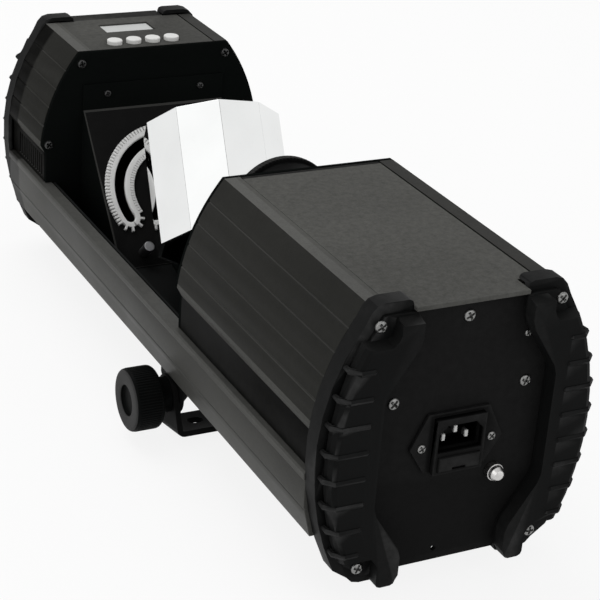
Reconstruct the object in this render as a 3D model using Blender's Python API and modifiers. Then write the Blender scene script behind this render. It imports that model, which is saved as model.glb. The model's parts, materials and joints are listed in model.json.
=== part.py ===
# Barrel mirror effect spotlight, built as separate pieces.
# Metres, Z up, Y along the length, the inlet end towards -Y.
# The row origin is the middle of the hanging strap's outer face.
import bpy
import bmesh
import math
from mathutils import Matrix, Vector

# Common
GAP = 0.0003
SHEET = 0.0025
PI2 = 2.0 * math.pi

# Body section: flat top, side arcs, and the heights of ledge, recess and rails
TOP_HALF = 0.055
BODY_HALF = 0.082
MID_Z = -0.078
SIDE_R = (BODY_HALF - TOP_HALF) / 2.0 + MID_Z * MID_Z / (2.0 * (BODY_HALF - TOP_HALF))
COVER_HALF = 0.045
LEDGE_TOP_Z = -0.0645
LEDGE_LOW_Z = -0.0705
RECESS_HALF = 0.0780
RAIL_TOP_Z = -0.092
RAIL_LOW_Z = -0.132
LIP_IN = BODY_HALF - 0.016
LINER_HALF = BODY_HALF - 0.0096
LINER_T = 0.0015
TRAY_HALF = LIP_IN + 0.0025
TRAY_T = 0.0025
GROOVE_Z = [-0.013, -0.0255, -0.038, -0.051]
GROOVE_D = 0.0008
GROOVE_W = 0.0007

# Lengths along Y
PLATE_Y = 0.0
PLATE_T = 0.003
BAND_END = 0.0097
COLLAR_END = 0.020
LAMP_END = 0.183
CONTROL_START = 0.4175
TOTAL_END = 0.4956
FACE_Y = -0.0108
BAND_Y = -0.0008
TONGUE_Y = -0.0034

# End bumpers: hooded band round the plate, neck behind the screw pockets, ribbed block in front
LUG_Z = -SHEET - 2.0 * GAP
LUG_DROP = 0.0024
OPEN_HALF = 0.0324
OPEN_WIDE = 0.051
OPEN_TOP_Z = -0.017
OPEN_SIDE_Z = -0.045
OPEN_CUT = 0.0030
HOOD_IN = 0.034
HOOD_Z = 0.0036
HOOD_END_R = 0.0028
SHOULDER_X = 0.0500
SHOULDER_R = 0.0085
SHOULDER_DEG = 62.0
SHOULDER_RUN = 0.0065
BAND_OUT = 0.0003
BAND_LOW_R = 0.165
BAND_T = 0.0027
RIM_W = 0.0072
NECK_IN = 0.0058
NECK_END = -0.0003
BLOCK_END = -0.0026
WALL_HALF = BODY_HALF - 0.004
WALL_R = 0.155
WALL_MID_Z = -0.081
POCKET_X = 0.0450
POCKET_Z = -0.0145
POCKET_R = 0.0040
POCKET_Y = -0.0034
SHELF_DROP = 0.0021
FOOT_IN = 0.0340
FOOT_OUT = 0.0455
FOOT_DROP = 0.0025
FOOT_R = 0.0028
RIM_STEPS = [(0.0, 0.0036), (0.0012, 0.0011), (0.0038, 0.0)]
RIB_R = 0.0017
RIB_IN_X = 0.0572
RIB_TOP_Z = -0.028
RIB_PITCH = 0.0152
RIB_SINK = 0.0005
RIB_BEND = 0.0046
RIB_OUT = 0.0016
RIBS = 8

# Sloping box, slot and drum
SLOPE_DEG = 42.0
SLOPE_TOP_Z = -0.0397
SLOPE_HALF = 0.052
SLOPE_T = 0.002
SWING_S = 0.067
SLOT_IN = 0.0366
SLOT_OUT = 0.0438
SLOT_HALF_DEG = 112.0
EDGING_W = 0.0066
EDGING_T = 0.0022
EDGING_ROOT = 0.0024
TOOTH_PITCH = 0.0060
TOOTH_GAP = 0.0010
POST_X = 0.0335
POST_S = 0.1077
POST_R = 0.0036
POST_H = 0.014
SWING_REST_DEG = -7.0
DRUM_SIDES = 10
DRUM_R = 0.0453
DRUM_LEN = 0.0820
DRUM_OFF = 0.0790
DRUM_DROP = 0.0252
DRUM_PHASE_DEG = 4.8
FACET_T = 0.0025
CORE_WALL = 0.003
CORE_IN = 0.004
CARRIER_T = 0.002
CARRIER_W = 0.030
CARRIER_OFF = 0.0165
ARM_GAP = 0.0025
SPIN_MOTOR_LEN = 0.040
SPIN_MOTOR_R = 0.017
AXLE_R = 0.003
BOSS_R = 0.0125
SPINDLE_R = 0.006
RUN = 0.0003

# Optics
LENS_Z = -0.0395
RING_R = 0.0345
RING_Y0 = 0.195
RING_Y1 = 0.217
TUBE_R = 0.029
TUBE_T = 0.0025
RING_TEETH = 30
LENS_R = TUBE_R - TUBE_T - GAP

# Display and buttons
LCD_X = -0.002
LCD_Y = 0.4650
LCD_W = 0.0360
LCD_L = 0.0170
LCD_RECESS = 0.0010
BUTTON_Y = 0.4318
BUTTON_X = [-0.0240, -0.0100, 0.0040, 0.0180]
BUTTON_R = 0.0053
BUTTON_H = 0.0028

# Mains inlet
INLET_HALF = 0.015
INLET_TOP_Z = -0.0665
INLET_LOW_Z = -0.099
INLET_FACE_Y = -0.0060
INLET_BACK_Y = 0.018
EAR_HALF = 0.028
EAR_Z = -0.0835
EAR_T = 0.002
SOCKET_HALF = 0.0132
SOCKET_TOP_Z = -0.0705
SOCKET_LOW_Z = -0.0860
SOCKET_DEPTH = 0.015
DRAWER_TOP_Z = -0.0885
DRAWER_LOW_Z = -0.0970
PIN_LEN = 0.009
EARTH_X = 0.026
EARTH_Z = -0.106
EARTH_R = 0.005

# Yoke
PIVOT_Y = 0.200
PIVOT_Z = -0.1455
YOKE_TILT_DEG = 11.0
YOKE_HALF_X = BODY_HALF - 0.0055
YOKE_T = 0.0035
YOKE_W = 0.033
YOKE_DROP = 0.0235
YOKE_TOP_R = 0.0124
STRAP_HOLE_R = 0.005
STRAP_HOLE_X = 0.058
BRACKET_T = 0.003
BRACKET_R = 0.0125
BRACKET_IN = 0.054
BRACKET_HALF = 0.018
KNOB_REACH = 0.026
KNOB_X = YOKE_HALF_X + KNOB_REACH
KNOB_R = 0.0195
KNOB_GRIP = 0.0150
KNOB_DISH_R = 0.0100
KNOB_DISH = 0.0025
KNOB_BOSS_R = 0.0110
BOLT_R = 0.004

TILT = math.radians(YOKE_TILT_DEG)
SLOPE = math.radians(SLOPE_DEG)
STRAP_MID = Vector((0.0, PIVOT_Y - math.sin(TILT) * YOKE_DROP, PIVOT_Z - math.cos(TILT) * YOKE_DROP))
BASE = -STRAP_MID
SLOPE_POINT = Vector((0.0, CONTROL_START - GAP, SLOPE_TOP_Z))
SLOPE_DOWN = Vector((0.0, -math.sin(SLOPE), -math.cos(SLOPE)))
SLOPE_NORMAL = Vector((0.0, -math.cos(SLOPE), math.sin(SLOPE)))

for old in list(bpy.data.objects):
    bpy.data.objects.remove(old, do_unlink=True)

PARTS = bpy.data.collections.new("barrel_mirror_spotlight")
CUTTERS = bpy.data.collections.new("cutters")
bpy.context.scene.collection.children.link(PARTS)
bpy.context.scene.collection.children.link(CUTTERS)


def make_material(name, color, metallic, roughness):
    mat = bpy.data.materials.new(name)
    mat.use_nodes = True
    node = mat.node_tree.nodes["Principled BSDF"]
    node.inputs["Base Color"].default_value = (color[0], color[1], color[2], 1.0)
    node.inputs["Metallic"].default_value = metallic
    node.inputs["Roughness"].default_value = roughness
    mat.diffuse_color = (color[0], color[1], color[2], 1.0)
    return mat


LOOKS = {
    "black_moulding": ((0.012, 0.012, 0.013), 0.0, 0.45),
    "black_panel": ((0.020, 0.020, 0.021), 0.2, 0.50),
    "textured_cover": ((0.035, 0.035, 0.036), 0.1, 0.70),
    "rail_black": ((0.040, 0.040, 0.041), 0.4, 0.42),
    "mirror_glass": ((0.90, 0.91, 0.92), 1.0, 0.03),
    "pale_rubber": ((0.60, 0.60, 0.60), 0.0, 0.60),
    "bright_screw": ((0.70, 0.70, 0.71), 1.0, 0.30),
    "white_button": ((0.80, 0.80, 0.79), 0.0, 0.40),
    "display_pane": ((0.38, 0.42, 0.40), 0.0, 0.15),
    "clear_lens": ((0.80, 0.85, 0.88), 0.0, 0.05),
    "motor_steel": ((0.35, 0.35, 0.36), 1.0, 0.40),
    "fin_metal": ((0.55, 0.55, 0.56), 1.0, 0.45),
    "board_green": ((0.03, 0.12, 0.06), 0.0, 0.50),
    "supply_case": ((0.25, 0.25, 0.26), 0.0, 0.55),
}
MATS = {key: make_material(key, val[0], val[1], val[2]) for key, val in LOOKS.items()}


def link(obj, look, group=PARTS):
    for coll in list(obj.users_collection):
        coll.objects.unlink(obj)
    group.objects.link(obj)
    obj.data.materials.clear()
    obj.data.materials.append(MATS[look])
    return obj


def clean(bm):
    bmesh.ops.remove_doubles(bm, verts=bm.verts, dist=0.000002)
    bmesh.ops.recalc_face_normals(bm, faces=bm.faces)


AXES = {
    "X": Matrix(((0, 0, 1, 0), (1, 0, 0, 0), (0, 1, 0, 0), (0, 0, 0, 1))),
    "Y": Matrix(((1, 0, 0, 0), (0, 0, -1, 0), (0, 1, 0, 0), (0, 0, 0, 1))),
    "Z": Matrix.Identity(4),
}


def slab(name, loops, low, high, axis="Z", soft=0.0):
    # A filled 2D curve given thickness, turned so that its thickness runs along the axis
    curve = bpy.data.curves.new(name, "CURVE")
    curve.dimensions = "2D"
    curve.fill_mode = "BOTH"
    curve.extrude = (high - low) / 2.0 - soft
    if soft > 0.0:
        curve.bevel_depth = soft
        curve.bevel_resolution = 1
        curve.offset = -soft
    for loop in loops:
        spline = curve.splines.new("POLY")
        spline.points.add(len(loop) - 1)
        for point, xy in zip(spline.points, loop):
            point.co = (xy[0], xy[1], 0.0, 1.0)
        spline.use_cyclic_u = True
    holder = bpy.data.objects.new(name, curve)
    bpy.context.scene.collection.objects.link(holder)
    graph = bpy.context.evaluated_depsgraph_get()
    mesh = bpy.data.meshes.new_from_object(holder.evaluated_get(graph))
    bpy.data.objects.remove(holder, do_unlink=True)
    middle = (low + high) / 2.0
    shift = {"X": (middle, 0, 0), "Y": (0, middle, 0), "Z": (0, 0, middle)}[axis]
    mesh.transform(Matrix.Translation(shift) @ AXES[axis])
    bm = bmesh.new()
    bm.from_mesh(mesh)
    clean(bm)
    bm.to_mesh(mesh)
    bm.free()
    obj = bpy.data.objects.new(name, mesh)
    bpy.context.scene.collection.objects.link(obj)
    return obj


def box(name, x0, x1, y0, y1, z0, z1):
    mesh = bpy.data.meshes.new(name)
    bm = bmesh.new()
    bmesh.ops.create_cube(bm, size=1.0)
    bmesh.ops.scale(bm, vec=(x1 - x0, y1 - y0, z1 - z0), verts=bm.verts)
    bmesh.ops.translate(bm, vec=((x0 + x1) / 2.0, (y0 + y1) / 2.0, (z0 + z1) / 2.0), verts=bm.verts)
    bm.to_mesh(mesh)
    bm.free()
    obj = bpy.data.objects.new(name, mesh)
    bpy.context.scene.collection.objects.link(obj)
    return obj


def rod(name, start, end, r0, r1, sides):
    # A capped cylinder or cone from start to end
    start = Vector(start)
    end = Vector(end)
    line = end - start
    mesh = bpy.data.meshes.new(name)
    bm = bmesh.new()
    bmesh.ops.create_cone(bm, cap_ends=True, segments=sides, radius1=r0, radius2=r1, depth=line.length)
    turn = line.to_track_quat("Z", "Y").to_matrix().to_4x4()
    bmesh.ops.transform(bm, matrix=Matrix.Translation((start + end) / 2.0) @ turn, verts=bm.verts)
    bm.to_mesh(mesh)
    bm.free()
    obj = bpy.data.objects.new(name, mesh)
    bpy.context.scene.collection.objects.link(obj)
    return obj


def turned(name, profile, sides, closed=False):
    # A profile of (radius, height) points turned about Z with the Screw modifier
    mesh = bpy.data.meshes.new(name)
    edges = [(i, i + 1) for i in range(len(profile) - 1)]
    if closed:
        edges.append((len(profile) - 1, 0))
    mesh.from_pydata([(r, 0.0, z) for r, z in profile], edges, [])
    obj = bpy.data.objects.new(name, mesh)
    bpy.context.scene.collection.objects.link(obj)
    screw = obj.modifiers.new("turn", "SCREW")
    screw.axis = "Z"
    screw.angle = PI2
    screw.steps = sides
    screw.render_steps = sides
    screw.use_merge_vertices = True
    screw.merge_threshold = 0.00002
    screw.use_normal_calculate = True
    bake(obj)
    return obj


def bake(obj):
    # Turn the modifiers so far into plain mesh, so that later steps can use it
    graph = bpy.context.evaluated_depsgraph_get()
    mesh = bpy.data.meshes.new_from_object(obj.evaluated_get(graph))
    obj.modifiers.clear()
    obj.data = mesh
    bm = bmesh.new()
    bm.from_mesh(mesh)
    clean(bm)
    bm.to_mesh(mesh)
    bm.free()
    return obj


def moved(obj, matrix):
    obj.data.transform(matrix)
    return obj


def join(name, objs):
    bm = bmesh.new()
    for obj in objs:
        bm.from_mesh(obj.data)
    mesh = bpy.data.meshes.new(name)
    bm.to_mesh(mesh)
    bm.free()
    for obj in objs:
        bpy.data.objects.remove(obj, do_unlink=True)
    made = bpy.data.objects.new(name, mesh)
    bpy.context.scene.collection.objects.link(made)
    return made


def boolean(obj, tool, kind="DIFFERENCE"):
    tool.name = "tool_" + obj.name
    link(tool, "black_panel", CUTTERS)
    tool.hide_render = True
    tool.display_type = "WIRE"
    mod = obj.modifiers.new(kind.lower(), "BOOLEAN")
    mod.operation = kind
    mod.solver = "EXACT"
    mod.object = tool
    bpy.context.view_layer.update()
    bake(obj)
    return obj


def outwards(obj):
    bm = bmesh.new()
    bm.from_mesh(obj.data)
    bmesh.ops.recalc_face_normals(bm, faces=bm.faces)
    bm.to_mesh(obj.data)
    bm.free()
    return obj


def soften(obj, width, segments=2, angle=40.0):
    mod = obj.modifiers.new("soft_edges", "BEVEL")
    mod.width = width
    mod.segments = segments
    mod.limit_method = "ANGLE"
    mod.angle_limit = math.radians(angle)
    mod.use_clamp_overlap = True
    return obj


def done(obj, name, look, at=(0.0, 0.0, 0.0), turn=None, smooth=None):
    obj.name = name
    obj.data.name = name
    link(obj, look)
    matrix = Matrix.Translation(BASE + Vector(at))
    if turn is not None:
        matrix = matrix @ turn
    obj.matrix_world = matrix
    if smooth is not None:
        obj.data.shade_smooth()
        obj.data.set_sharp_from_angle(angle=math.radians(smooth))
    return obj


def circle(cx, cy, r, sides, start=0.0):
    return [(cx + r * math.cos(start + PI2 * i / sides), cy + r * math.sin(start + PI2 * i / sides))
            for i in range(sides)]


def mirror_x(points):
    return [(-x, y) for x, y in reversed(points)]


def side_x(z):
    return BODY_HALF - SIDE_R + math.sqrt(SIDE_R * SIDE_R - (z - MID_Z) ** 2)


def arc_points(z0, z1, count, inset=0.0):
    points = []
    for i in range(count + 1):
        z = z0 + (z1 - z0) * i / count
        points.append((side_x(z) - inset, z))
    return points


# End bumpers


def band_x(z):
    # Outer side of the band: the panels' arc above the middle, a fuller arc below it
    if z > MID_Z:
        return side_x(z) + BAND_OUT
    return BODY_HALF + BAND_OUT - BAND_LOW_R + math.sqrt(BAND_LOW_R ** 2 - (z - MID_Z) ** 2)


def wall_x(z):
    return WALL_HALF - WALL_R + math.sqrt(WALL_R ** 2 - (z - WALL_MID_Z) ** 2)


def shoulder(z_top, sign, steps):
    # Rounded corner between a hood's flat lip and the side
    points = []
    for i in range(steps + 1):
        a = math.radians(90.0 - SHOULDER_DEG * i / steps)
        points.append((SHOULDER_X + SHOULDER_R * math.cos(a), z_top - sign * SHOULDER_R * (1.0 - math.sin(a))))
    return points


def band_half():
    # Outline of the band on one side, from the upper lip round the side to the lower lip
    low = 2.0 * MID_Z
    points = [(HOOD_IN + HOOD_END_R, HOOD_Z)] + shoulder(HOOD_Z, 1.0, 2)
    first = points[-1][1] - SHOULDER_RUN
    last = low - points[-1][1] + SHOULDER_RUN
    count = 9
    for i in range(count + 1):
        z = first + (last - first) * i / count
        points.append((band_x(z), z))
    points += list(reversed(shoulder(low - HOOD_Z, -1.0, 2)))
    return points + [(HOOD_IN + HOOD_END_R, low - HOOD_Z)]


def drawn_in(points, inset):
    # An open outline moved inwards along the mean normal at each point
    made = []
    for i, (x, z) in enumerate(points):
        before = points[max(i - 1, 0)]
        after = points[min(i + 1, len(points) - 1)]
        run = Vector((after[0] - before[0], after[1] - before[1])).normalized()
        made.append((x + run.y * inset, z - run.x * inset))
    return made


def cut_corners(points, cut):
    # Every inner point of an open outline replaced by two points at a short distance from it
    made = [points[0]]
    for before, here, after in zip(points[:-2], points[1:-1], points[2:]):
        corner_at = Vector(here)
        back = (Vector(before) - corner_at).normalized() * cut
        on = (Vector(after) - corner_at).normalized() * cut
        made += [tuple(corner_at + back), tuple(corner_at + on)]
    return made + [points[-1]]


def opening_half(grow=0.0):
    # The eight sided opening's edge on one side, bottom to top, its corners softened
    low = 2.0 * MID_Z
    half = OPEN_HALF + grow
    wide = OPEN_WIDE + grow
    points = [(half, low - LUG_Z), (half, low - OPEN_TOP_Z), (wide, low - OPEN_SIDE_Z), (wide, OPEN_SIDE_Z),
              (half, OPEN_TOP_Z), (half, LUG_Z)]
    return cut_corners(points, OPEN_CUT)


def block_half():
    # Outline of the ribbed block: lug, upper pocket, side wall, lower pocket, foot and the opening's edge
    low = 2.0 * MID_Z
    soft = POCKET_R * 0.3
    points = [(POCKET_X - soft, LUG_Z), (POCKET_X, LUG_Z - soft), (POCKET_X, POCKET_Z + POCKET_R),
              (POCKET_X + soft, POCKET_Z + soft), (POCKET_X + POCKET_R, POCKET_Z)]
    steps = 8
    for i in range(steps + 1):
        z = POCKET_Z + (low - 2.0 * POCKET_Z) * i / steps
        points.append((wall_x(z), z))
    foot_z = low - FOOT_DROP
    points += [(FOOT_OUT + POCKET_R, low - POCKET_Z), (FOOT_OUT + soft, low - POCKET_Z - soft),
               (FOOT_OUT, low - POCKET_Z - POCKET_R), (FOOT_OUT, foot_z + FOOT_R),
               (FOOT_OUT - FOOT_R * 0.3, foot_z + FOOT_R * 0.3), (FOOT_OUT - FOOT_R, foot_z),
               (FOOT_IN + FOOT_R, foot_z), (FOOT_IN + FOOT_R * 0.3, foot_z + FOOT_R * 0.3),
               (FOOT_IN, foot_z + FOOT_R)]
    return points + opening_half()


def shape_block(block):
    # The block's rounded rim, sloping lug and sloping pocket shelves, as shifts that grow towards the face
    low = 2.0 * MID_Z
    bm = bmesh.new()
    bm.from_mesh(block.data)
    for depth, _ in RIM_STEPS[1:]:
        geom = bm.verts[:] + bm.edges[:] + bm.faces[:]
        bmesh.ops.bisect_plane(bm, geom=geom, plane_co=(0, FACE_Y + depth, 0), plane_no=(0, 1, 0))
    run = BLOCK_END - FACE_Y
    for v in bm.verts:
        depth = v.co.y - FACE_Y
        share = 1.0 - depth / run
        x = v.co.x
        z = v.co.z
        if z > LUG_Z - 0.0001:
            v.co.z -= LUG_DROP * share
        if x > POCKET_X + 0.001 and abs(z - POCKET_Z) < 0.0001:
            v.co.z -= SHELF_DROP * share
        if x > POCKET_X + 0.001 and abs(z - low + POCKET_Z) < 0.0001:
            v.co.z += SHELF_DROP * share
        if abs(x - wall_x(z)) < 0.0001:
            v.co.x -= sum(inset for at, inset in RIM_STEPS if abs(depth - at) < 0.0001)
    bm.to_mesh(block.data)
    bm.free()


def make_bumper(name, side, at_far):
    low = 2.0 * MID_Z
    outer = band_half()
    soft = HOOD_END_R * 0.3
    lip = [(HOOD_IN, HOOD_Z - RIM_W), (HOOD_IN, HOOD_Z - HOOD_END_R), (HOOD_IN + soft, HOOD_Z - soft)]
    lip_low = [(x, low - z) for x, z in reversed(lip)]
    body = slab(name, [lip + outer + lip_low + list(reversed(drawn_in(outer, RIM_W)))], BAND_Y, BAND_END, "Y")
    room = [(OPEN_HALF, HOOD_Z - BAND_T)] + drawn_in(outer, BAND_T) + [(OPEN_HALF, low - HOOD_Z + BAND_T)]
    boolean(body, slab("room", [room], PLATE_T + GAP, BAND_END + 0.01, "Y"))
    neck = drawn_in(outer, NECK_IN) + opening_half(GAP)
    boolean(body, slab("neck", [neck], POCKET_Y, NECK_END, "Y"), "UNION")
    block = slab("block", [block_half()], FACE_Y, BLOCK_END, "Y")
    shape_block(block)
    boolean(body, block, "UNION")
    ribs = [rib_tube(RIB_TOP_Z - RIB_PITCH * i) for i in range(RIBS)]
    boolean(body, join("ribs", ribs), "UNION")
    if side < 0:
        moved(body, Matrix.Scale(-1.0, 4, (1, 0, 0)))
    if at_far:
        moved(body, Matrix.Translation((0, TOTAL_END, 0)) @ Matrix.Scale(-1.0, 4, (0, 1, 0)))
    outwards(body)
    return done(body, name, "black_moulding", smooth=35.0)


def rib_tube(z):
    # A rounded ridge across the face and round the corner on to the side wall, narrowed at its inner end
    x = wall_x(z) + RIB_OUT
    curve = bpy.data.curves.new("rib", "CURVE")
    curve.dimensions = "3D"
    curve.bevel_depth = RIB_R
    curve.bevel_resolution = 1
    curve.use_fill_caps = True
    spline = curve.splines.new("POLY")
    face = FACE_Y + RIB_SINK
    path = [(RIB_IN_X, face, 0.45), (RIB_IN_X + RIB_R * 0.7, face, 1.0), (x - RIB_BEND, face, 1.0),
            (x, face + RIB_BEND, 1.0), (x, BAND_Y - 0.0006, 0.8)]
    spline.points.add(len(path) - 1)
    for point, (px, py, size) in zip(spline.points, path):
        point.co = (px, py, z, 1.0)
        point.radius = size
    holder = bpy.data.objects.new("rib", curve)
    bpy.context.scene.collection.objects.link(holder)
    return bake_curve(holder)


def bake_curve(holder):
    graph = bpy.context.evaluated_depsgraph_get()
    mesh = bpy.data.meshes.new_from_object(holder.evaluated_get(graph))
    name = holder.name
    bpy.data.objects.remove(holder, do_unlink=True)
    bm = bmesh.new()
    bm.from_mesh(mesh)
    clean(bm)
    bm.to_mesh(mesh)
    bm.free()
    obj = bpy.data.objects.new(name, mesh)
    bpy.context.scene.collection.objects.link(obj)
    return obj


for tag, at_far in (("near", False), ("far", True)):
    for word, side in (("left", -1), ("right", 1)):
        make_bumper(tag + "_bumper_" + word, side, at_far)


# End plates


def plate_outline():
    # Inside the bumpers' rim at the sides, under the covers' tongues in the middle
    low = 2.0 * MID_Z
    side = drawn_in(band_half(), RIM_W + GAP)
    tongue = HOOD_IN - 2.0 * GAP
    right = [(tongue, -SHEET - GAP), (tongue, side[0][1])] + side + [(tongue, side[-1][1]), (tongue, low)]
    return right + mirror_x(right)


def end_plate(name, y0, y1, holes):
    return slab(name, [plate_outline()] + holes, y0, y1, "Y")


inlet_hole = [(-INLET_HALF - GAP, INLET_LOW_Z - GAP), (INLET_HALF + GAP, INLET_LOW_Z - GAP),
              (INLET_HALF + GAP, INLET_TOP_Z + GAP), (-INLET_HALF - GAP, INLET_TOP_Z + GAP)]
spare_hole = circle(-0.005, -0.149, 0.0016, 12)
near_plate = end_plate("near_end_plate", PLATE_Y, PLATE_Y + PLATE_T, [inlet_hole, spare_hole])
done(near_plate, "near_end_plate", "black_panel")
far_plate = end_plate("far_end_plate", TOTAL_END - PLATE_T, TOTAL_END, [])
done(far_plate, "far_end_plate", "black_panel")

# Rails, tray and liner
RAIL_START = BAND_END + GAP
RAIL_END = TOTAL_END - BAND_END - GAP


def rail_outline():
    # Section of a side rail: top flange, two stepped faces, a kink inwards and the lower lip
    out = BODY_HALF
    edge = LINER_HALF + 2.0 * GAP
    top = RAIL_TOP_Z
    low = RAIL_LOW_Z
    kink = low + 0.011
    outer = [(edge, top), (out - 0.0008, top), (out, top - 0.0010), (out - 0.0002, top - 0.0048),
             (out - 0.0010, top - 0.0053), (out - 0.0014, kink + 0.0070), (out - 0.0024, kink + 0.0062),
             (out - 0.0020, kink + 0.0052), (out - 0.0034, kink), (out - 0.0062, low)]
    inner = [(LIP_IN, low), (LIP_IN, low + SHEET), (out - 0.0082, low + SHEET), (out - 0.0058, kink + 0.0010),
             (out - 0.0040, kink + 0.0070), (out - 0.0037, top - 0.0050), (out - 0.0035, top - SHEET),
             (edge, top - SHEET)]
    return outer + inner


right_rail = slab("right_rail", [rail_outline()], RAIL_START, RAIL_END, "Y")
done(right_rail, "right_rail", "rail_black")
left_rail = slab("left_rail", [mirror_x(rail_outline())], RAIL_START, RAIL_END, "Y")
done(left_rail, "left_rail", "rail_black")

TRAY_Y0 = PLATE_T + 2.0 * GAP
tray = box("bottom_tray", -TRAY_HALF, TRAY_HALF, TRAY_Y0, TOTAL_END - TRAY_Y0,
           RAIL_LOW_Z - GAP - TRAY_T, RAIL_LOW_Z - GAP)
done(tray, "bottom_tray", "black_panel")

LINER_LOW = RAIL_LOW_Z + SHEET + GAP
liner_out = [(LINER_HALF, RAIL_TOP_Z + GAP), (LINER_HALF, LINER_LOW), (-LINER_HALF, LINER_LOW),
             (-LINER_HALF, RAIL_TOP_Z + GAP)]
wall_in = LINER_HALF - LINER_T
floor_z = LINER_LOW + LINER_T
liner_in = [(-wall_in, RAIL_TOP_Z + GAP), (-wall_in, floor_z), (wall_in, floor_z), (wall_in, RAIL_TOP_Z + GAP)]
liner = slab("bay_liner", [liner_out + liner_in], LAMP_END + GAP, CONTROL_START - GAP, "Y")
done(liner, "bay_liner", "black_moulding")

# Housing side panels with lengthwise grooves and vent slots


def panel_outline():
    outer = [(COVER_HALF + GAP + 0.0006, 0.0), (TOP_HALF, 0.0)]
    z_list = [-0.0045, -0.009]
    for z in GROOVE_Z:
        z_list += [z + GROOVE_W, z, z - GROOVE_W, z - 0.0062]
    for i, z in enumerate(z_list):
        depth = GROOVE_D if z in GROOVE_Z else 0.0
        outer.append((side_x(z) - depth, z))
    outer += [(side_x(LEDGE_TOP_Z), LEDGE_TOP_Z), (RECESS_HALF, LEDGE_LOW_Z), (RECESS_HALF, RAIL_TOP_Z + GAP)]
    inner = [(RECESS_HALF - SHEET, RAIL_TOP_Z + GAP), (RECESS_HALF - SHEET, LEDGE_LOW_Z)]
    inner += [(side_x(z) - SHEET, z) for z in [LEDGE_TOP_Z] + list(reversed(GROOVE_Z))]
    inner += [(TOP_HALF - 0.0008, -SHEET), (COVER_HALF + GAP + 0.0006, -SHEET)]
    return outer + inner


def side_panel(name, side, y0, y1, vents=0):
    panel = slab(name, [panel_outline()], y0, y1, "Y")
    if vents:
        cuts = []
        for i in range(vents):
            y = y0 + VENT_PITCH * (i + 1)
            cuts.append(box("vent", RECESS_HALF - 2.0 * SHEET, RECESS_HALF + SHEET, y, y + VENT_W,
                            VENT_LOW_Z, VENT_TOP_Z))
        boolean(panel, join("vents", cuts))
    if side < 0:
        outwards(moved(panel, Matrix.Scale(-1.0, 4, (1, 0, 0))))
    return done(panel, name, "black_panel", smooth=20.0)


VENT_PITCH = 0.0042
VENT_W = 0.0020
VENT_TOP_Z = LEDGE_LOW_Z - 0.003
VENT_LOW_Z = RAIL_TOP_Z + 0.003
LAMP_Y0 = BAND_END + GAP
LAMP_Y1 = LAMP_END - SHEET - GAP
CTRL_Y0 = CONTROL_START + SHEET + GAP
CTRL_Y1 = TOTAL_END - BAND_END - GAP
for word, side in (("left", -1), ("right", 1)):
    side_panel("lamp_side_" + word, side, LAMP_Y0, LAMP_Y1)
    side_panel("control_side_" + word, side, CTRL_Y0, CTRL_Y1, 12)


def collar_outline():
    # Inner end frame that the plate, the panels and the cover close on
    room = SHEET + 4.0 * GAP
    outer = [(TOP_HALF - room, -SHEET - GAP)] + arc_points(GROOVE_Z[0], COLLAR_LOW_Z, 6, room)
    inner = [(TOP_HALF - room - SHEET, -2.0 * SHEET - GAP)]
    inner += arc_points(GROOVE_Z[0], COLLAR_LOW_Z, 4, room + SHEET)
    half = outer + list(reversed(inner))
    return half + mirror_x(half)


COLLAR_LOW_Z = LEDGE_TOP_Z + 0.003
collar = slab("near_collar", [collar_outline()], PLATE_T + 2.0 * GAP, COLLAR_END, "Y")
done(collar, "near_collar", "rail_black", smooth=20.0)

# Top covers, each with a tongue that runs out between the hoods


def cover_outline(y_end, y_out, y_in):
    # Shoulders at y_end, tongue out to y_out, straight edge at y_in
    tongue = HOOD_IN - GAP
    half = [(tongue, y_out), (tongue, y_end), (COVER_HALF, y_end), (COVER_HALF, y_in)]
    return half + mirror_x(half)


lamp_cover = slab("lamp_cover", [cover_outline(LAMP_Y0, TONGUE_Y, LAMP_Y1)], -SHEET, 0.0, "Z")
done(soften(lamp_cover, 0.0005, 1), "lamp_cover", "textured_cover")
button_holes = [circle(x, BUTTON_Y, BUTTON_R + 2.0 * RUN, 16) for x in BUTTON_X]
pane_x = LCD_W / 2.0 + GAP
pane_y = LCD_L / 2.0 + GAP
window_hole = [(LCD_X - pane_x, LCD_Y - pane_y), (LCD_X + pane_x, LCD_Y - pane_y),
               (LCD_X + pane_x, LCD_Y + pane_y), (LCD_X - pane_x, LCD_Y + pane_y)]
cover_edge = cover_outline(CTRL_Y1, TOTAL_END - TONGUE_Y, CTRL_Y0)
control_cover = slab("control_cover", [cover_edge, window_hole] + button_holes, -SHEET, 0.0, "Z")
done(control_cover, "control_cover", "textured_cover")

# Bulkheads


def bulkhead_outline():
    foot = LINER_HALF + GAP
    right = [(TOP_HALF - 0.0002, 0.0)] + arc_points(-0.003, LEDGE_TOP_Z, 10, 0.0002)
    right += [(RECESS_HALF, LEDGE_LOW_Z), (RECESS_HALF, RAIL_TOP_Z + GAP), (foot, RAIL_TOP_Z + GAP),
              (foot, LINER_LOW), (LIP_IN - GAP, LINER_LOW), (LIP_IN - GAP, RAIL_LOW_Z)]
    return right + mirror_x(right)


lens_hole = circle(0.0, LENS_Z, TUBE_R + 2.0 * GAP, 30)
lamp_bulkhead = slab("lamp_bulkhead", [bulkhead_outline(), lens_hole], LAMP_END - SHEET, LAMP_END, "Y")
done(lamp_bulkhead, "lamp_bulkhead", "black_panel")
control_bulkhead = slab("control_bulkhead", [bulkhead_outline(), circle(0.0, -0.085, 0.022, 24)],
                        CONTROL_START, CONTROL_START + SHEET, "Y")
done(control_bulkhead, "control_bulkhead", "black_panel")

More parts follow.
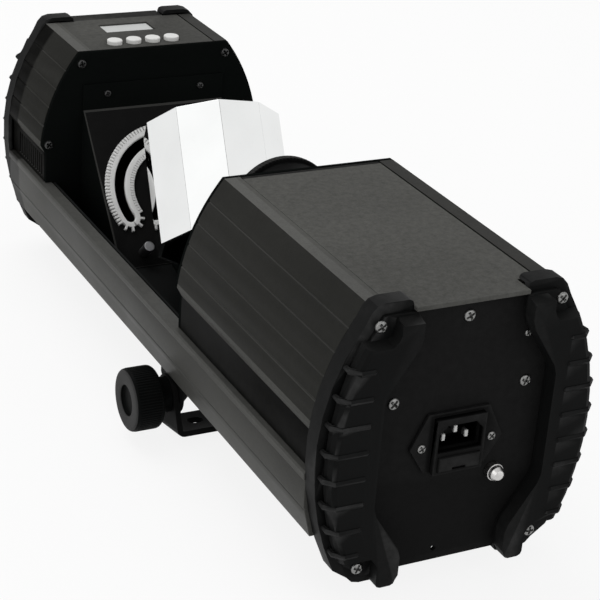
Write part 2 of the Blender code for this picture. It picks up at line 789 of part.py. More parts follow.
# Optics: fixed tube, ribbed focus ring, lens
tube_front = RING_Y1 - 0.004
tube_back = LAMP_END - 0.018
tube_in = TUBE_R - TUBE_T
tube_loop = [(TUBE_R, tube_front), (TUBE_R, tube_back), (tube_in, tube_back), (tube_in, tube_front)]
tube = turned("lens_tube", tube_loop, 30, closed=True)
TO_Y = Matrix.Rotation(math.radians(-90.0), 4, "X")
done(tube, "lens_tube", "black_panel", at=(0, 0, LENS_Z), turn=TO_Y, smooth=40.0)
ring_loop = []
for i in range(RING_TEETH):
    a = PI2 * i / RING_TEETH
    for part, rad in ((0.0, RING_R), (0.45, RING_R), (0.55, RING_R - 0.0012), (0.9, RING_R - 0.0012)):
        b = a + PI2 * part / RING_TEETH
        ring_loop.append((rad * math.cos(b), rad * math.sin(b)))
ring = slab("focus_ring", [ring_loop, circle(0, 0, TUBE_R + RUN, 30)], RING_Y0 - RING_Y1, 0.0, "Z")
moved(ring, Matrix.Rotation(math.radians(90.0), 4, "X") @ Matrix.Scale(-1.0, 4, (0, 0, 1)))
outwards(ring)
y_values = [v.co.y for v in ring.data.vertices]
moved(ring, Matrix.Translation((0, -max(y_values), 0)))
done(ring, "focus_ring", "black_moulding", at=(0, RING_Y1, LENS_Z), smooth=30.0)
lens = turned("front_lens", [(0.0, 0.0050), (LENS_R * 0.5, 0.0044), (LENS_R * 0.8, 0.0030), (LENS_R, 0.0012),
                             (LENS_R, -0.0030), (0.0, -0.0030)], 30)
done(lens, "front_lens", "clear_lens", at=(0, RING_Y1 - 0.012, LENS_Z), turn=TO_Y, smooth=40.0)

# Display window and push buttons
window = box("display_window", -LCD_W / 2, LCD_W / 2, -LCD_L / 2, LCD_L / 2, -SHEET - 0.0015, -LCD_RECESS)
done(window, "display_window", "display_pane", at=(LCD_X, LCD_Y, 0.0))
for i, x in enumerate(BUTTON_X):
    dome = [(0.0, BUTTON_H), (BUTTON_R * 0.6, BUTTON_H - 0.0003), (BUTTON_R * 0.9, BUTTON_H - 0.0010)]
    cap = turned("button", dome + [(BUTTON_R, BUTTON_H - 0.0020), (BUTTON_R, -SHEET), (0.0, -SHEET)], 18)
    done(cap, "menu_button_" + str(i + 1), "white_button", at=(x, BUTTON_Y, 0.0), smooth=50.0)
board = box("control_board", -0.040, 0.040, BUTTON_Y - 0.009, LCD_Y + 0.012, -0.0100, -0.0084)
stalks = []
for x in BUTTON_X:
    stalks.append(box("switch", x - 0.003, x + 0.003, BUTTON_Y - 0.003, BUTTON_Y + 0.003, -0.0084, -0.0036))
stalks.append(box("glass_seat", LCD_X - 0.016, LCD_X + 0.016, LCD_Y - 0.007, LCD_Y + 0.007, -0.0084, -0.0043))
boolean(board, moved(join("switches", stalks), Matrix.Translation((0, 0, -0.0002))), "UNION")
done(board, "control_board", "board_green")

# Mains inlet: flanged body with a socket, three pins and a fuse drawer
ear_half = EAR_HALF - 0.0095
ear_loop = [(EAR_HALF, EAR_Z), (ear_half, INLET_LOW_Z + 0.0004), (-ear_half, INLET_LOW_Z + 0.0004),
            (-EAR_HALF, EAR_Z), (-ear_half, INLET_TOP_Z + 0.0022), (ear_half, INLET_TOP_Z + 0.0022)]
inlet = slab("inlet_housing", [ear_loop], PLATE_Y - GAP - EAR_T, PLATE_Y - GAP, "Y")
block = box("block", -INLET_HALF, INLET_HALF, INLET_FACE_Y, INLET_BACK_Y, INLET_LOW_Z, INLET_TOP_Z)
boolean(inlet, block, "UNION")
chamfer = 0.0045
socket_loop = [(-SOCKET_HALF, SOCKET_LOW_Z), (SOCKET_HALF, SOCKET_LOW_Z), (SOCKET_HALF, SOCKET_TOP_Z - chamfer),
               (SOCKET_HALF - chamfer, SOCKET_TOP_Z), (-SOCKET_HALF + chamfer, SOCKET_TOP_Z),
               (-SOCKET_HALF, SOCKET_TOP_Z - chamfer)]
socket = slab("socket", [socket_loop], INLET_FACE_Y - 0.01, INLET_FACE_Y + SOCKET_DEPTH, "Y")
drawer_hole = box("drawer_hole", -0.0125, 0.0125, INLET_FACE_Y - 0.01, INLET_BACK_Y - 0.002,
                  DRAWER_LOW_Z, DRAWER_TOP_Z)
boolean(inlet, join("inlet_cuts", [socket, drawer_hole]))
done(inlet, "inlet_housing", "black_moulding")
pins = []
seat_y = INLET_FACE_Y + SOCKET_DEPTH - GAP
for x, z in ((-0.007, -0.0805), (0.0, -0.0765), (0.007, -0.0805)):
    pins.append(box("pin", x - 0.001, x + 0.001, seat_y - PIN_LEN, seat_y - 0.0004, z - 0.002, z + 0.002))
contacts = box("inlet_pins", -0.0100, 0.0100, seat_y - 0.0010, seat_y, -0.0840, -0.0730)
boolean(contacts, join("pin_set", pins), "UNION")
done(contacts, "inlet_pins", "bright_screw")
drawer_half = 0.0125 - GAP
drawer = box("fuse_drawer", -drawer_half, drawer_half, -0.0012, INLET_BACK_Y - 0.0024 - INLET_FACE_Y,
             DRAWER_LOW_Z + GAP, DRAWER_TOP_Z - GAP)
grip = box("grip", -0.004, 0.004, -0.004, 0.0006, DRAWER_LOW_Z - 0.001, DRAWER_LOW_Z + 0.0020)
boolean(drawer, grip)
done(drawer, "fuse_drawer", "black_moulding", at=(0, INLET_FACE_Y, 0))

# Earth point: a stud with a domed cap nut
nut_prof = [(0.0, 0.0090), (EARTH_R * 0.55, 0.0080), (EARTH_R * 0.85, 0.0060), (EARTH_R * 0.92, 0.0040),
            (EARTH_R, 0.0040), (EARTH_R, 0.0003), (0.0, 0.0003)]
nut = turned("earth_nut", nut_prof, 18)
FROM_Y = Matrix.Rotation(math.radians(90.0), 4, "X")
done(nut, "earth_nut", "bright_screw", at=(EARTH_X, PLATE_Y, EARTH_Z), turn=FROM_Y, smooth=40.0)

# Sloping box with the arc slot
SLOPE_FRAME = Matrix(((1, 0, 0, 0),
                      (0, SLOPE_DOWN.y, SLOPE_NORMAL.y, SLOPE_POINT.y),
                      (0, SLOPE_DOWN.z, SLOPE_NORMAL.z, SLOPE_POINT.z),
                      (0, 0, 0, 1)))
# In this frame x is across, y runs down the slope and z stands off it, and the handedness is flipped
FLIP = Matrix.Scale(-1.0, 4, (1, 0, 0))
box_low = floor_z + GAP
run_s = (SLOPE_TOP_Z - box_low) / math.cos(SLOPE)
foot_y = SLOPE_POINT.y - run_s * math.sin(SLOPE)
skin = SLOPE_T / math.cos(SLOPE)
FLANGE_TOP_Z = SLOPE_TOP_Z + 0.017
FOLD_T = 0.0015
side_loop = [(SLOPE_POINT.y, SLOPE_TOP_Z), (SLOPE_POINT.y, FLANGE_TOP_Z),
             (SLOPE_POINT.y - FOLD_T, FLANGE_TOP_Z),
             (SLOPE_POINT.y - FOLD_T, SLOPE_TOP_Z - FOLD_T / math.tan(SLOPE)),
             (foot_y, box_low), (foot_y + skin, box_low), (SLOPE_POINT.y, SLOPE_TOP_Z - skin / math.tan(SLOPE))]
slope_box = slab("slope_box", [side_loop], -SLOPE_HALF, SLOPE_HALF, "X")
cheeks = []
cheek_loop = [(SLOPE_POINT.y, SLOPE_TOP_Z - 0.0005), (foot_y + 0.0005, box_low), (SLOPE_POINT.y, box_low)]
for sign in (-1.0, 1.0):
    low = min(sign * SLOPE_HALF, sign * (SLOPE_HALF - SLOPE_T))
    cheeks.append(slab("cheek", [cheek_loop], low, low + SLOPE_T, "X"))
boolean(slope_box, join("cheeks", cheeks), "UNION")


SLOT_MID = (SLOT_IN + SLOT_OUT) / 2.0
SLOT_HALF = (SLOT_OUT - SLOT_IN) / 2.0
SLOT_END = math.radians(SLOT_HALF_DEG)
SLOT_CAP = math.pi / 2.0 * SLOT_HALF


def slot_point(t, side, away):
    # A point beside the slot: t runs along its edge from the middle, and side is 1 outside it and -1 inside
    edge_r = SLOT_MID + side * SLOT_HALF
    half_run = SLOT_END * edge_r
    angle = min(abs(t), half_run) / edge_r
    turn = max(abs(t) - half_run, 0.0) / SLOT_HALF
    out = Vector((math.sin(angle), -math.cos(angle)))
    along = Vector((-out.y, out.x))
    point = out * SLOT_MID + (out * side * math.cos(turn) + along * math.sin(turn)) * (SLOT_HALF + away)
    return (point.x if t > 0.0 else -point.x, point.y)


def slot_loop(steps):
    # Outline of the arc slot with round ends, its middle pointing up the slope
    loop = []
    for side in (1.0, -1.0):
        reach = SLOT_END * (SLOT_MID + side * SLOT_HALF)
        ends = [reach + SLOT_CAP / 3.0, reach + SLOT_CAP * 2.0 / 3.0]
        if side > 0.0:
            ends.append(reach + SLOT_CAP)
        along = [reach * (2.0 * i / steps - 1.0) for i in range(steps + 1)]
        line = [slot_point(t, side, 0.0) for t in [-t for t in reversed(ends)] + along + ends]
        loop += line if side > 0.0 else list(reversed(line))
    return loop


SWING_FRAME = Matrix.Translation(SLOPE_DOWN * SWING_S) @ SLOPE_FRAME @ FLIP
slot_cut = slab("slot_cut", [slot_loop(26)], -0.01, 0.01, "Z")
spindle_cut = slab("spindle_cut", [circle(0, 0, SPINDLE_R + RUN, 24)], -0.01, 0.01, "Z")
slot_cut = join("slot_cuts", [slot_cut, spindle_cut])
moved(slot_cut, SWING_FRAME)
boolean(slope_box, slot_cut)
done(slope_box, "slope_box", "black_panel")


def edging(name, side):
    # A strip round one side of the slot, solid next to it and cut into square teeth on its other edge
    length = SLOT_END * (SLOT_MID + side * SLOT_HALF) + SLOT_CAP - GAP
    count = round(2.0 * length / TOOTH_PITCH)
    step = 2.0 * length / count
    rim = [slot_point(-length + step * i, side, 0.0) for i in range(count + 1)]
    teeth = []
    for i in range(count):
        start = -length + step * i + TOOTH_GAP / 2.0
        stop = start + step - TOOTH_GAP
        for t, away in ((start, EDGING_ROOT), (start, EDGING_W), (stop, EDGING_W), (stop, EDGING_ROOT)):
            teeth.append(slot_point(t, side, away))
    strip = slab(name, [rim + list(reversed(teeth))], GAP, GAP + EDGING_T, "Z")
    moved(strip, SWING_FRAME)
    return done(outwards(strip), name, "pale_rubber")


edging("slot_edging_outer", 1.0)
edging("slot_edging_inner", -1.0)


def on_slope(x, s, off):
    return SLOPE_POINT + SLOPE_DOWN * s + SLOPE_NORMAL * off + Vector((x, 0, 0))


for word, sign in (("left", -1), ("right", 1)):
    post_foot = on_slope(sign * POST_X, POST_S, GAP)
    post = rod("post", post_foot, on_slope(sign * POST_X, POST_S, POST_H), POST_R, POST_R, 16)
    done(post, "stop_post_" + word, "bright_screw", smooth=40.0)

# Swing motor behind the slope, its spindle stopping under the plate
motor_top = -SLOPE_T - GAP
motor = turned("swing_motor", [(0.0, motor_top - 0.004), (0.019, motor_top - 0.004), (0.019, motor_top - 0.028),
                               (0.0, motor_top - 0.028)], 24)
flange = rod("flange", (0, 0, motor_top), (0, 0, motor_top - 0.005), 0.024, 0.024, 6)
boolean(motor, flange, "UNION")
SWING_PIVOT = on_slope(0.0, SWING_S, 0.0)
SWING_TURN = Matrix(((1, 0, 0, 0), (0, -SLOPE_DOWN.y, SLOPE_NORMAL.y, 0), (0, -SLOPE_DOWN.z, SLOPE_NORMAL.z, 0),
                     (0, 0, 0, 1)))
# Here x is across, y runs up the slope and z stands off it
done(motor, "swing_motor", "motor_steel", at=SWING_PIVOT, turn=SWING_TURN)

# Drum carrier: spindle, back strip and two arms that hold the drum's axle
CARRIER_TURN = SWING_TURN @ Matrix.Rotation(math.radians(SWING_REST_DEG), 4, "Z")
ARM_Y_LOW = -DRUM_DROP - DRUM_LEN / 2.0 - ARM_GAP
ARM_Y_TOP = -DRUM_DROP + DRUM_LEN / 2.0 + ARM_GAP
ARM_TOP_OFF = DRUM_OFF + 0.012
strip_loop = [(ARM_Y_LOW + 0.0092, CARRIER_OFF), (ARM_Y_TOP + CARRIER_T, CARRIER_OFF),
              (ARM_Y_TOP + CARRIER_T, ARM_TOP_OFF), (ARM_Y_TOP, ARM_TOP_OFF),
              (ARM_Y_TOP, CARRIER_OFF + CARRIER_T), (ARM_Y_LOW + 0.0102, CARRIER_OFF + CARRIER_T),
              (ARM_Y_LOW, CARRIER_OFF + 0.0118), (ARM_Y_LOW, ARM_TOP_OFF), (ARM_Y_LOW - CARRIER_T, ARM_TOP_OFF),
              (ARM_Y_LOW - CARRIER_T, CARRIER_OFF + 0.0108)]
carrier = slab("drum_carrier", [strip_loop], -CARRIER_W / 2.0, CARRIER_W / 2.0, "X")
spindle = rod("spindle", (0, 0, -SLOPE_T + 0.0002), (0, 0, CARRIER_OFF + 0.001), SPINDLE_R, SPINDLE_R, 24)
washer = rod("washer", (0, 0, GAP + 0.0008), (0, 0, CARRIER_OFF + 0.001), BOSS_R, BOSS_R, 24)
boolean(carrier, spindle, "UNION")
boolean(carrier, washer, "UNION")
done(carrier, "drum_carrier", "black_panel", at=SWING_PIVOT, turn=CARRIER_TURN)

# Spin motor inside the drum, fixed to the lower arm, with its shaft along the axis
DRUM_AT = SWING_PIVOT + CARRIER_TURN @ Vector((0.0, -DRUM_DROP, DRUM_OFF))
# In the drum's own frame its axis is Z, pointing up the slope
DRUM_TURN = CARRIER_TURN @ Matrix.Rotation(math.radians(-90.0), 4, "X")
half = DRUM_LEN / 2.0
low_arm = -half - ARM_GAP
motor_end = low_arm + SPIN_MOTOR_LEN
spin = turned("spin_motor", [(0.0, motor_end), (SPIN_MOTOR_R, motor_end), (SPIN_MOTOR_R, low_arm + GAP),
                             (0.0, low_arm + GAP)], 24)
shaft = rod("shaft", (0, 0, motor_end - CORE_IN), (0, 0, half + ARM_GAP - GAP), AXLE_R, AXLE_R, 16)
boolean(spin, shaft, "UNION")
done(spin, "spin_motor", "motor_steel", at=DRUM_AT, turn=DRUM_TURN, smooth=40.0)

# Drum core: ten sided shell with a web on the shaft
flat_r = DRUM_R * math.cos(math.pi / DRUM_SIDES)
core_r = (flat_r - FACET_T - GAP) / math.cos(math.pi / DRUM_SIDES)
core_out = circle(0, 0, core_r, DRUM_SIDES, math.radians(DRUM_PHASE_DEG))
core_in = circle(0, 0, core_r - CORE_WALL, 30)
core = slab("drum_core", [core_out, core_in], -half, half, "Z")
web = slab("web", [circle(0, 0, core_r - CORE_WALL + 0.0008, 30), circle(0, 0, AXLE_R + 0.0002, 16)],
           half - 0.010, half - CORE_IN, "Z")
boolean(core, web, "UNION")
done(core, "drum_core", "black_moulding", at=DRUM_AT, turn=DRUM_TURN)
for i in range(DRUM_SIDES):
    a = math.radians(DRUM_PHASE_DEG) + PI2 * (i + 0.5) / DRUM_SIDES
    half_in = (flat_r - FACET_T) * math.tan(math.pi / DRUM_SIDES) - 0.0002
    half_out = flat_r * math.tan(math.pi / DRUM_SIDES) - 0.0002
    loop = [(flat_r - FACET_T, -half_in), (flat_r, -half_out), (flat_r, half_out), (flat_r - FACET_T, half_in)]
    loop = [(x * math.cos(a) - y * math.sin(a), x * math.sin(a) + y * math.cos(a)) for x, y in loop]
    facet = slab("facet", [loop], -half, half, "Z")
    done(facet, "mirror_facet_%02d" % (i + 1), "mirror_glass", at=DRUM_AT, turn=DRUM_TURN)

# Yoke, brackets and knobs
YOKE_TURN = Matrix.Rotation(-TILT, 4, "X")
# A negative turn about X carries the strap towards -Y at the bottom
inner_half = YOKE_HALF_X - YOKE_T
bend = 0.005
bend_in = bend - YOKE_T


def corner(cx, cz, r, start, steps):
    angles = [start + i * math.pi / 2 / steps for i in range(steps + 1)]
    return [(cx + r * math.cos(a), cz + r * math.sin(a)) for a in angles]


top_z = YOKE_TOP_R
outer_path = [(YOKE_HALF_X, top_z)]
outer_bend = corner(YOKE_HALF_X - bend, -YOKE_DROP + bend, bend, -math.pi / 2, 4)
outer_path += list(reversed(outer_bend))
outer_path += [(-x, z) for x, z in outer_bend]
outer_path += [(-YOKE_HALF_X, top_z), (-inner_half, top_z)]
inner_z = -YOKE_DROP + YOKE_T
inner_bend = corner(inner_half - bend_in, inner_z + bend_in, bend_in, -math.pi / 2, 3)
outer_path += [(-x, z) for x, z in reversed(inner_bend)]
outer_path += inner_bend
outer_path += [(inner_half, top_z)]
yoke = slab("yoke", [outer_path], -YOKE_W / 2.0, YOKE_W / 2.0, "Y")
keep = [(YOKE_W / 2.0, -YOKE_DROP - 0.01), (YOKE_W / 2.0, -YOKE_DROP + 0.006)]
keep += [(YOKE_TOP_R * math.cos(math.pi * i / 10), YOKE_TOP_R * math.sin(math.pi * i / 10)) for i in range(11)]
keep += [(-YOKE_W / 2.0, -YOKE_DROP + 0.006), (-YOKE_W / 2.0, -YOKE_DROP - 0.01)]
keeper = slab("keeper", [keep], -0.1, 0.1, "X")
boolean(yoke, keeper, "INTERSECT")
holes = [rod("hole", (x, 0, -YOKE_DROP - 0.01), (x, 0, -YOKE_DROP + 0.01), STRAP_HOLE_R, STRAP_HOLE_R, 16)
         for x in (-STRAP_HOLE_X, 0.0, STRAP_HOLE_X)]
holes += [rod("hole", (x - 0.01, 0, 0), (x + 0.01, 0, 0), BOLT_R + RUN, BOLT_R + RUN, 14)
          for x in (-YOKE_HALF_X, YOKE_HALF_X)]
boolean(yoke, join("yoke_holes", holes))
done(yoke, "yoke", "black_panel", at=(0, PIVOT_Y, PIVOT_Z), turn=YOKE_TURN)

bracket_x = inner_half - GAP
bracket_top = RAIL_LOW_Z - 2.0 * GAP - TRAY_T - PIVOT_Z
for word, side in (("left", -1.0), ("right", 1.0)):
    path = [(bracket_x, bracket_top), (bracket_x, -BRACKET_R), (bracket_x - BRACKET_T, -BRACKET_R),
            (bracket_x - BRACKET_T, bracket_top - BRACKET_T), (BRACKET_IN, bracket_top - BRACKET_T),
            (BRACKET_IN, bracket_top)]
    if side < 0:
        path = mirror_x(path)
    bracket = slab("bracket", [path], -BRACKET_HALF, BRACKET_HALF, "Y")
    shape = [(BRACKET_HALF, bracket_top + 0.01), (-BRACKET_HALF, bracket_top + 0.01),
             (-BRACKET_HALF, bracket_top - 0.004)]
    shape += [(-BRACKET_R * math.cos(math.pi * i / 12), -BRACKET_R * math.sin(math.pi * i / 12))
              for i in range(13)]
    shape += [(BRACKET_HALF, bracket_top - 0.004)]
    boolean(bracket, slab("shape", [shape], -0.1, 0.1, "X"), "INTERSECT")
    boolean(bracket, rod("hole", (side * 0.05, 0, 0), (side * 0.09, 0, 0), BOLT_R + RUN, BOLT_R + RUN, 20))
    done(bracket, "yoke_bracket_" + word, "black_panel", at=(0, PIVOT_Y, PIVOT_Z))
    base = YOKE_HALF_X + GAP
    tip = bracket_x - BRACKET_T - 0.004
    grip_x = KNOB_X - KNOB_GRIP
    knob = turned("knob", [(0.0, KNOB_X - KNOB_DISH), (KNOB_DISH_R - 0.001, KNOB_X - KNOB_DISH),
                           (KNOB_DISH_R, KNOB_X), (KNOB_R - 0.0028, KNOB_X), (KNOB_R - 0.0008, KNOB_X - 0.0008),
                           (KNOB_R, KNOB_X - 0.0028), (KNOB_R, grip_x), (KNOB_R - 0.0012, grip_x - 0.0022),
                           (KNOB_R - 0.0042, grip_x - 0.0036), (KNOB_BOSS_R, grip_x - 0.0042),
                           (KNOB_BOSS_R, base), (BOLT_R, base), (BOLT_R, tip), (0.0, tip)], 24)
    spin_side = Matrix.Rotation(math.radians(90.0 * side), 4, "Y")
    done(knob, "knob_" + word, "black_moulding", at=(0, PIVOT_Y, PIVOT_Z), turn=spin_side, smooth=40.0)

# Inner pieces: power supply, lamp module with fins, pattern wheel and its motor
SUPPLY_TOP_Z = -0.094
SUPPLY_HALF = 0.055
SUPPLY_Y0 = 0.030
SUPPLY_Y1 = 0.150
supply = box("power_supply", -SUPPLY_HALF, SUPPLY_HALF, SUPPLY_Y0, SUPPLY_Y1, RAIL_LOW_Z + GAP, SUPPLY_TOP_Z)
done(supply, "power_supply", "supply_case")
LAMP_Y = 0.080
LAMP_HALF = 0.030
lamp = box("lamp_module", -LAMP_HALF, LAMP_HALF, LAMP_Y - 0.010, LAMP_Y, LENS_Z - LAMP_HALF, LENS_Z + LAMP_HALF)
fins = [box("fin", -0.028 + 0.0077 * i, -0.0255 + 0.0077 * i, LAMP_Y - 0.038, LAMP_Y - 0.0095,
            LENS_Z - 0.028, LENS_Z + 0.028) for i in range(8)]
boolean(lamp, join("fins", fins), "UNION")
foot = box("foot", -0.020, 0.020, LAMP_Y - 0.004, LAMP_Y - 0.001,
           SUPPLY_TOP_Z + GAP, LENS_Z - LAMP_HALF + 0.002)
boolean(lamp, foot, "UNION")
done(lamp, "lamp_module", "fin_metal")
WHEEL_X = 0.024
WHEEL_Y = 0.128
WHEEL_R = 0.034
WHEEL_T = 0.0016
PATTERNS = 7
wheel_loops = [circle(0, 0, WHEEL_R, 32), circle(0, 0, AXLE_R + RUN, 12)]
wheel_loops += [circle(WHEEL_X * math.cos(PI2 * i / PATTERNS), WHEEL_X * math.sin(PI2 * i / PATTERNS), 0.0075, 10)
                for i in range(PATTERNS)]
wheel = slab("pattern_wheel", wheel_loops, -WHEEL_T / 2.0, WHEEL_T / 2.0, "Z")
done(wheel, "pattern_wheel", "bright_screw", at=(WHEEL_X, WHEEL_Y, LENS_Z), turn=FROM_Y)
wheel_back = WHEEL_Y + WHEEL_T / 2.0 + GAP
motor_back = wheel_back + 0.016
wheel_motor = rod("wheel_motor", (WHEEL_X, wheel_back, LENS_Z), (WHEEL_X, motor_back, LENS_Z), 0.010, 0.010, 24)
boolean(wheel_motor, rod("axle", (WHEEL_X, WHEEL_Y - 0.003, LENS_Z), (WHEEL_X, wheel_back + 0.004, LENS_Z),
                         AXLE_R, AXLE_R, 16), "UNION")
boolean(wheel_motor, box("leg", WHEEL_X - 0.006, WHEEL_X + 0.006, wheel_back + 0.003, wheel_back + 0.012,
                         SUPPLY_TOP_Z + GAP, LENS_Z - 0.006), "UNION")
done(wheel_motor, "wheel_motor", "motor_steel", smooth=40.0)

print("objects", len(PARTS.objects))
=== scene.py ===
import json
import math

import bmesh
import bpy
import numpy as np
from bpy.props import FloatProperty, FloatVectorProperty, IntProperty, PointerProperty
from mathutils import Matrix, Vector

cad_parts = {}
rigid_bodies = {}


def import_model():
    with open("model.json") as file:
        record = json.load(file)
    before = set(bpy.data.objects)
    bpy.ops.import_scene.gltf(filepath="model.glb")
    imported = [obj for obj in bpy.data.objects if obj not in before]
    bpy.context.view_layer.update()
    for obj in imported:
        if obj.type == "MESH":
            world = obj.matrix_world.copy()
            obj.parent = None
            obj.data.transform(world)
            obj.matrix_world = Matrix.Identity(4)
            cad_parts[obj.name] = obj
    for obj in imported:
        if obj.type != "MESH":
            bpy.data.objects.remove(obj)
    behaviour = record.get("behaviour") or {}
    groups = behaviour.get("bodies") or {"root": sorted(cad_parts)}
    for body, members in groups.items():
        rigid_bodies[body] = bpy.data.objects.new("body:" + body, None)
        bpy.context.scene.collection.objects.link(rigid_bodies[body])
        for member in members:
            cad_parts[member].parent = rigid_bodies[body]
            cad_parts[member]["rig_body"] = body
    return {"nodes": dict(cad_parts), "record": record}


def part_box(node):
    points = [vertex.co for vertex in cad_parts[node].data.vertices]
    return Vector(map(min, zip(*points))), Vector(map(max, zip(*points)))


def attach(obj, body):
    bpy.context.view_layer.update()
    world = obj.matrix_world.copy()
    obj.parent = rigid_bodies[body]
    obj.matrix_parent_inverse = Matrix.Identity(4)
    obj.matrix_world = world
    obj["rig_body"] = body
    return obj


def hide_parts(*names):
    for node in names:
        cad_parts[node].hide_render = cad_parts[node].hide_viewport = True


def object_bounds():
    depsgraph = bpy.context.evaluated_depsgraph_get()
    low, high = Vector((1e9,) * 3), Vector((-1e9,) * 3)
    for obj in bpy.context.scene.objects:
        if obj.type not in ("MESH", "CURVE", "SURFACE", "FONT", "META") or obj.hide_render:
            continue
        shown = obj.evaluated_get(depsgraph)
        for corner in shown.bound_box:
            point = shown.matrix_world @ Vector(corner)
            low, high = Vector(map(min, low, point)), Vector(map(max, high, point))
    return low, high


bl_info = {
    "name": "Barrel mirror spotlight",
    "version": (1, 0, 0),
    "blender": (4, 5, 0),
    "location": "View3D > Sidebar > Spotlight",
    "description": "Dresses the packed frame of a barrel mirror spotlight",
    "category": "Object",
}

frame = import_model()
NODES = frame["nodes"]
JOINTS = {joint["name"]: joint for joint in frame["record"]["behaviour"]["joints"]}
CAD_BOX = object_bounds()

# The housing's own measures start at the near end plate's face and at the top covers, with X to the right.
# The places of pieces are written in them, in metres, and the tilt joint ties them to the frame
PIVOT_Y = 0.200
PIVOT_Z = -0.1455
HOUSING_ZERO = Vector(JOINTS["yoke_tilt"]["pos_m"]) - Vector((0.0, PIVOT_Y, PIVOT_Z))
NEARWARD = (0.0, -1.0, 0.0)
FARWARD = (0.0, 1.0, 0.0)

# The sloping box: its face's angle, the face's top edge, and the point of the face where the drum's carrier
# swings
SLOPE = math.radians(42.0)
SLOPE_TOP = HOUSING_ZERO + Vector((0.0, 0.4172, -0.0397))
SLOPE_DOWN = Vector((0.0, -math.sin(SLOPE), -math.cos(SLOPE)))
SLOPE_OUT = Vector((0.0, -math.cos(SLOPE), math.sin(SLOPE)))
SWING_DEPTH = 0.067
SWING_AT = SLOPE_TOP + SLOPE_DOWN * SWING_DEPTH

# The arc slot in that face: the radius of its middle, its half width, and its half length as an angle
SLOT_MID = 0.0402
SLOT_HALF = 0.0036
SLOT_END = math.radians(112.0)

# The slot's edging: its gap off the face, its height, its rim's width, its width with the teeth, the rim's
# lip and steps, and the teeth's own width, rounding, overlap with the rim, lowered ends and aiming step
EDGING_LIFT = 0.0003
EDGING_TALL = 0.0022
EDGING_ROOT = 0.0034
EDGING_WIDE = 0.0066
RIM_LIP = 0.0009
RIM_STEPS = 181
TOOTH_WIDE = 0.0016
TOOTH_SOFT = 0.0005
TOOTH_SINK = 0.0001
TOOTH_DROP = 0.0003
TOOTH_AIM = 0.0002

# The side panels: the ledge and the painted highlight on its rolled edge, the pressed lines and the
# painted highlights along them, the vents, half the cover's width, and the flange beside the cover with
# the fold where its painted sheen changes, and its seam
LEDGE_LOW_Z = -0.0705
LEDGE_TOP_Z = -0.0645
LEDGE_ROLL = 0.0018
GROOVES = (-0.0130, -0.0255, -0.0380, -0.0510)
GROOVE_BELOW = 0.0008
GROOVE_ABOVE = 0.0001
VENT_LOW_Z = -0.0890
VENT_TOP_Z = -0.0735
COVER_HALF = 0.0450
FLANGE_FOLD_X = -0.0487
SEAM_REACH = 0.0012
SEAM_GAP = 0.00005

# Where painted bands begin: left of and below the housing, in front of it, at the lips of the two covers
# and in the bay between them. Then where the painted shade before the far bumpers starts, its run and
# what light it leaves, and where a knob's face ends
LOWEST = -0.2
FIRST_Y = -0.1
LAMP_LIP_Y = 0.1762
BAY_Y = 0.3
CONTROL_LIP_Y = 0.4855
VENT_SHADE_Y = 0.4660
RAIL_SHADE_Y = 0.4640
SHADE_RUN = 0.0040
SHADE_LEFT = 0.12
KNOB_FACE_X = -0.1021

# The lens axis, and the focus ring's bore, rounding, plain collar and ribbed band, and how far the
# painted highlight on its front band reaches back
LENS_Z = -0.0395
RING_BORE = 0.0294
RING_SOFT = 0.0006
RING_COLLAR = 0.0024
RING_BAND = 0.0062
RING_EDGE = 0.0060

# Screw heads: their rings and steps, the cross in them as shares of their radius, their foot as a share of
# their height, and the faces that they stand on
SCREW_RINGS = 20
SCREW_STEPS = 96
CROSS_ARM = 0.70
CROSS_HALF = 0.17
CROSS_RIM = 0.05
CROSS_FLOOR = -0.08
SCREW_FOOT = -0.1
PLATE_Y = 0.0
EAR_Y = -0.0023
NEAR_POCKET_Y = -0.0034
FAR_POCKET_Y = 0.4990
LAMP_BULKHEAD_Y = 0.1855
CONTROL_BULKHEAD_Y = 0.4175
SLOPE_FLANGE_Y = 0.4157

# Copies of the CAD solids: points that are one, faces that are flat, faces that look one way, and how much
# a mirror strip is widened
COPY_MERGE = 2e-6
FLAT_ANGLE = math.radians(0.6)
FACING_LIMIT = 0.95
MIRROR_GROWTH = 0.0003

# Tones of single places
# Painted shade on the inlet's sides, deep in its well and round its pins
INLET_SHADE = (0.0010, 0.0010, 0.0010)
DUST = (0.30, 0.29, 0.27, 1.0)
# Painted shade on the backs of the vents, a little lighter than the recess around them
VENT_BACK_SHADE = (0.0050, 0.0050, 0.0047)
# Painted sheen on the inner side of the left flange, and painted shade on the right flange
FLANGE_INNER_SHEEN = (0.0740, 0.0740, 0.0690)
FLANGE_RIGHT_SHADE = (0.0330, 0.0330, 0.0310)
# Painted shade on the focus ring, and a painted highlight on its front band
RING_SHADE = (0.0020, 0.0021, 0.0021)
RING_FRONT_HIGHLIGHT = (0.0200, 0.0200, 0.0195)
# Painted shade on the covers' far lips
COVER_LIP_SHADE = (0.0050, 0.0050, 0.0050)
COVER_DIM = 0.72
KNOB_FACE = (0.0420, 0.0420, 0.0420)
KNOB_SIDE = (0.0040, 0.0044, 0.0044)
PIN_TIP = (0.60, 0.60, 0.59)
# Painted shade on the pins' sides just inside the socket
PIN_SIDE_SHADE = (0.0500, 0.0500, 0.0500)
WHITE = (1.0, 1.0, 1.0, 1.0)

# Noise: the two values that it mostly keeps between, the coarse grain's scale as a share of the fine
# one's, the spread of roughness in paint and in metal, and the depth of scratches
NOISE_LOW = 0.3
NOISE_HIGH = 0.7
COARSE_SCALE = 0.31
PAINT_SPREAD = 0.10
METAL_SPREAD = 0.12
SCRATCH_DEPTH = 0.00001

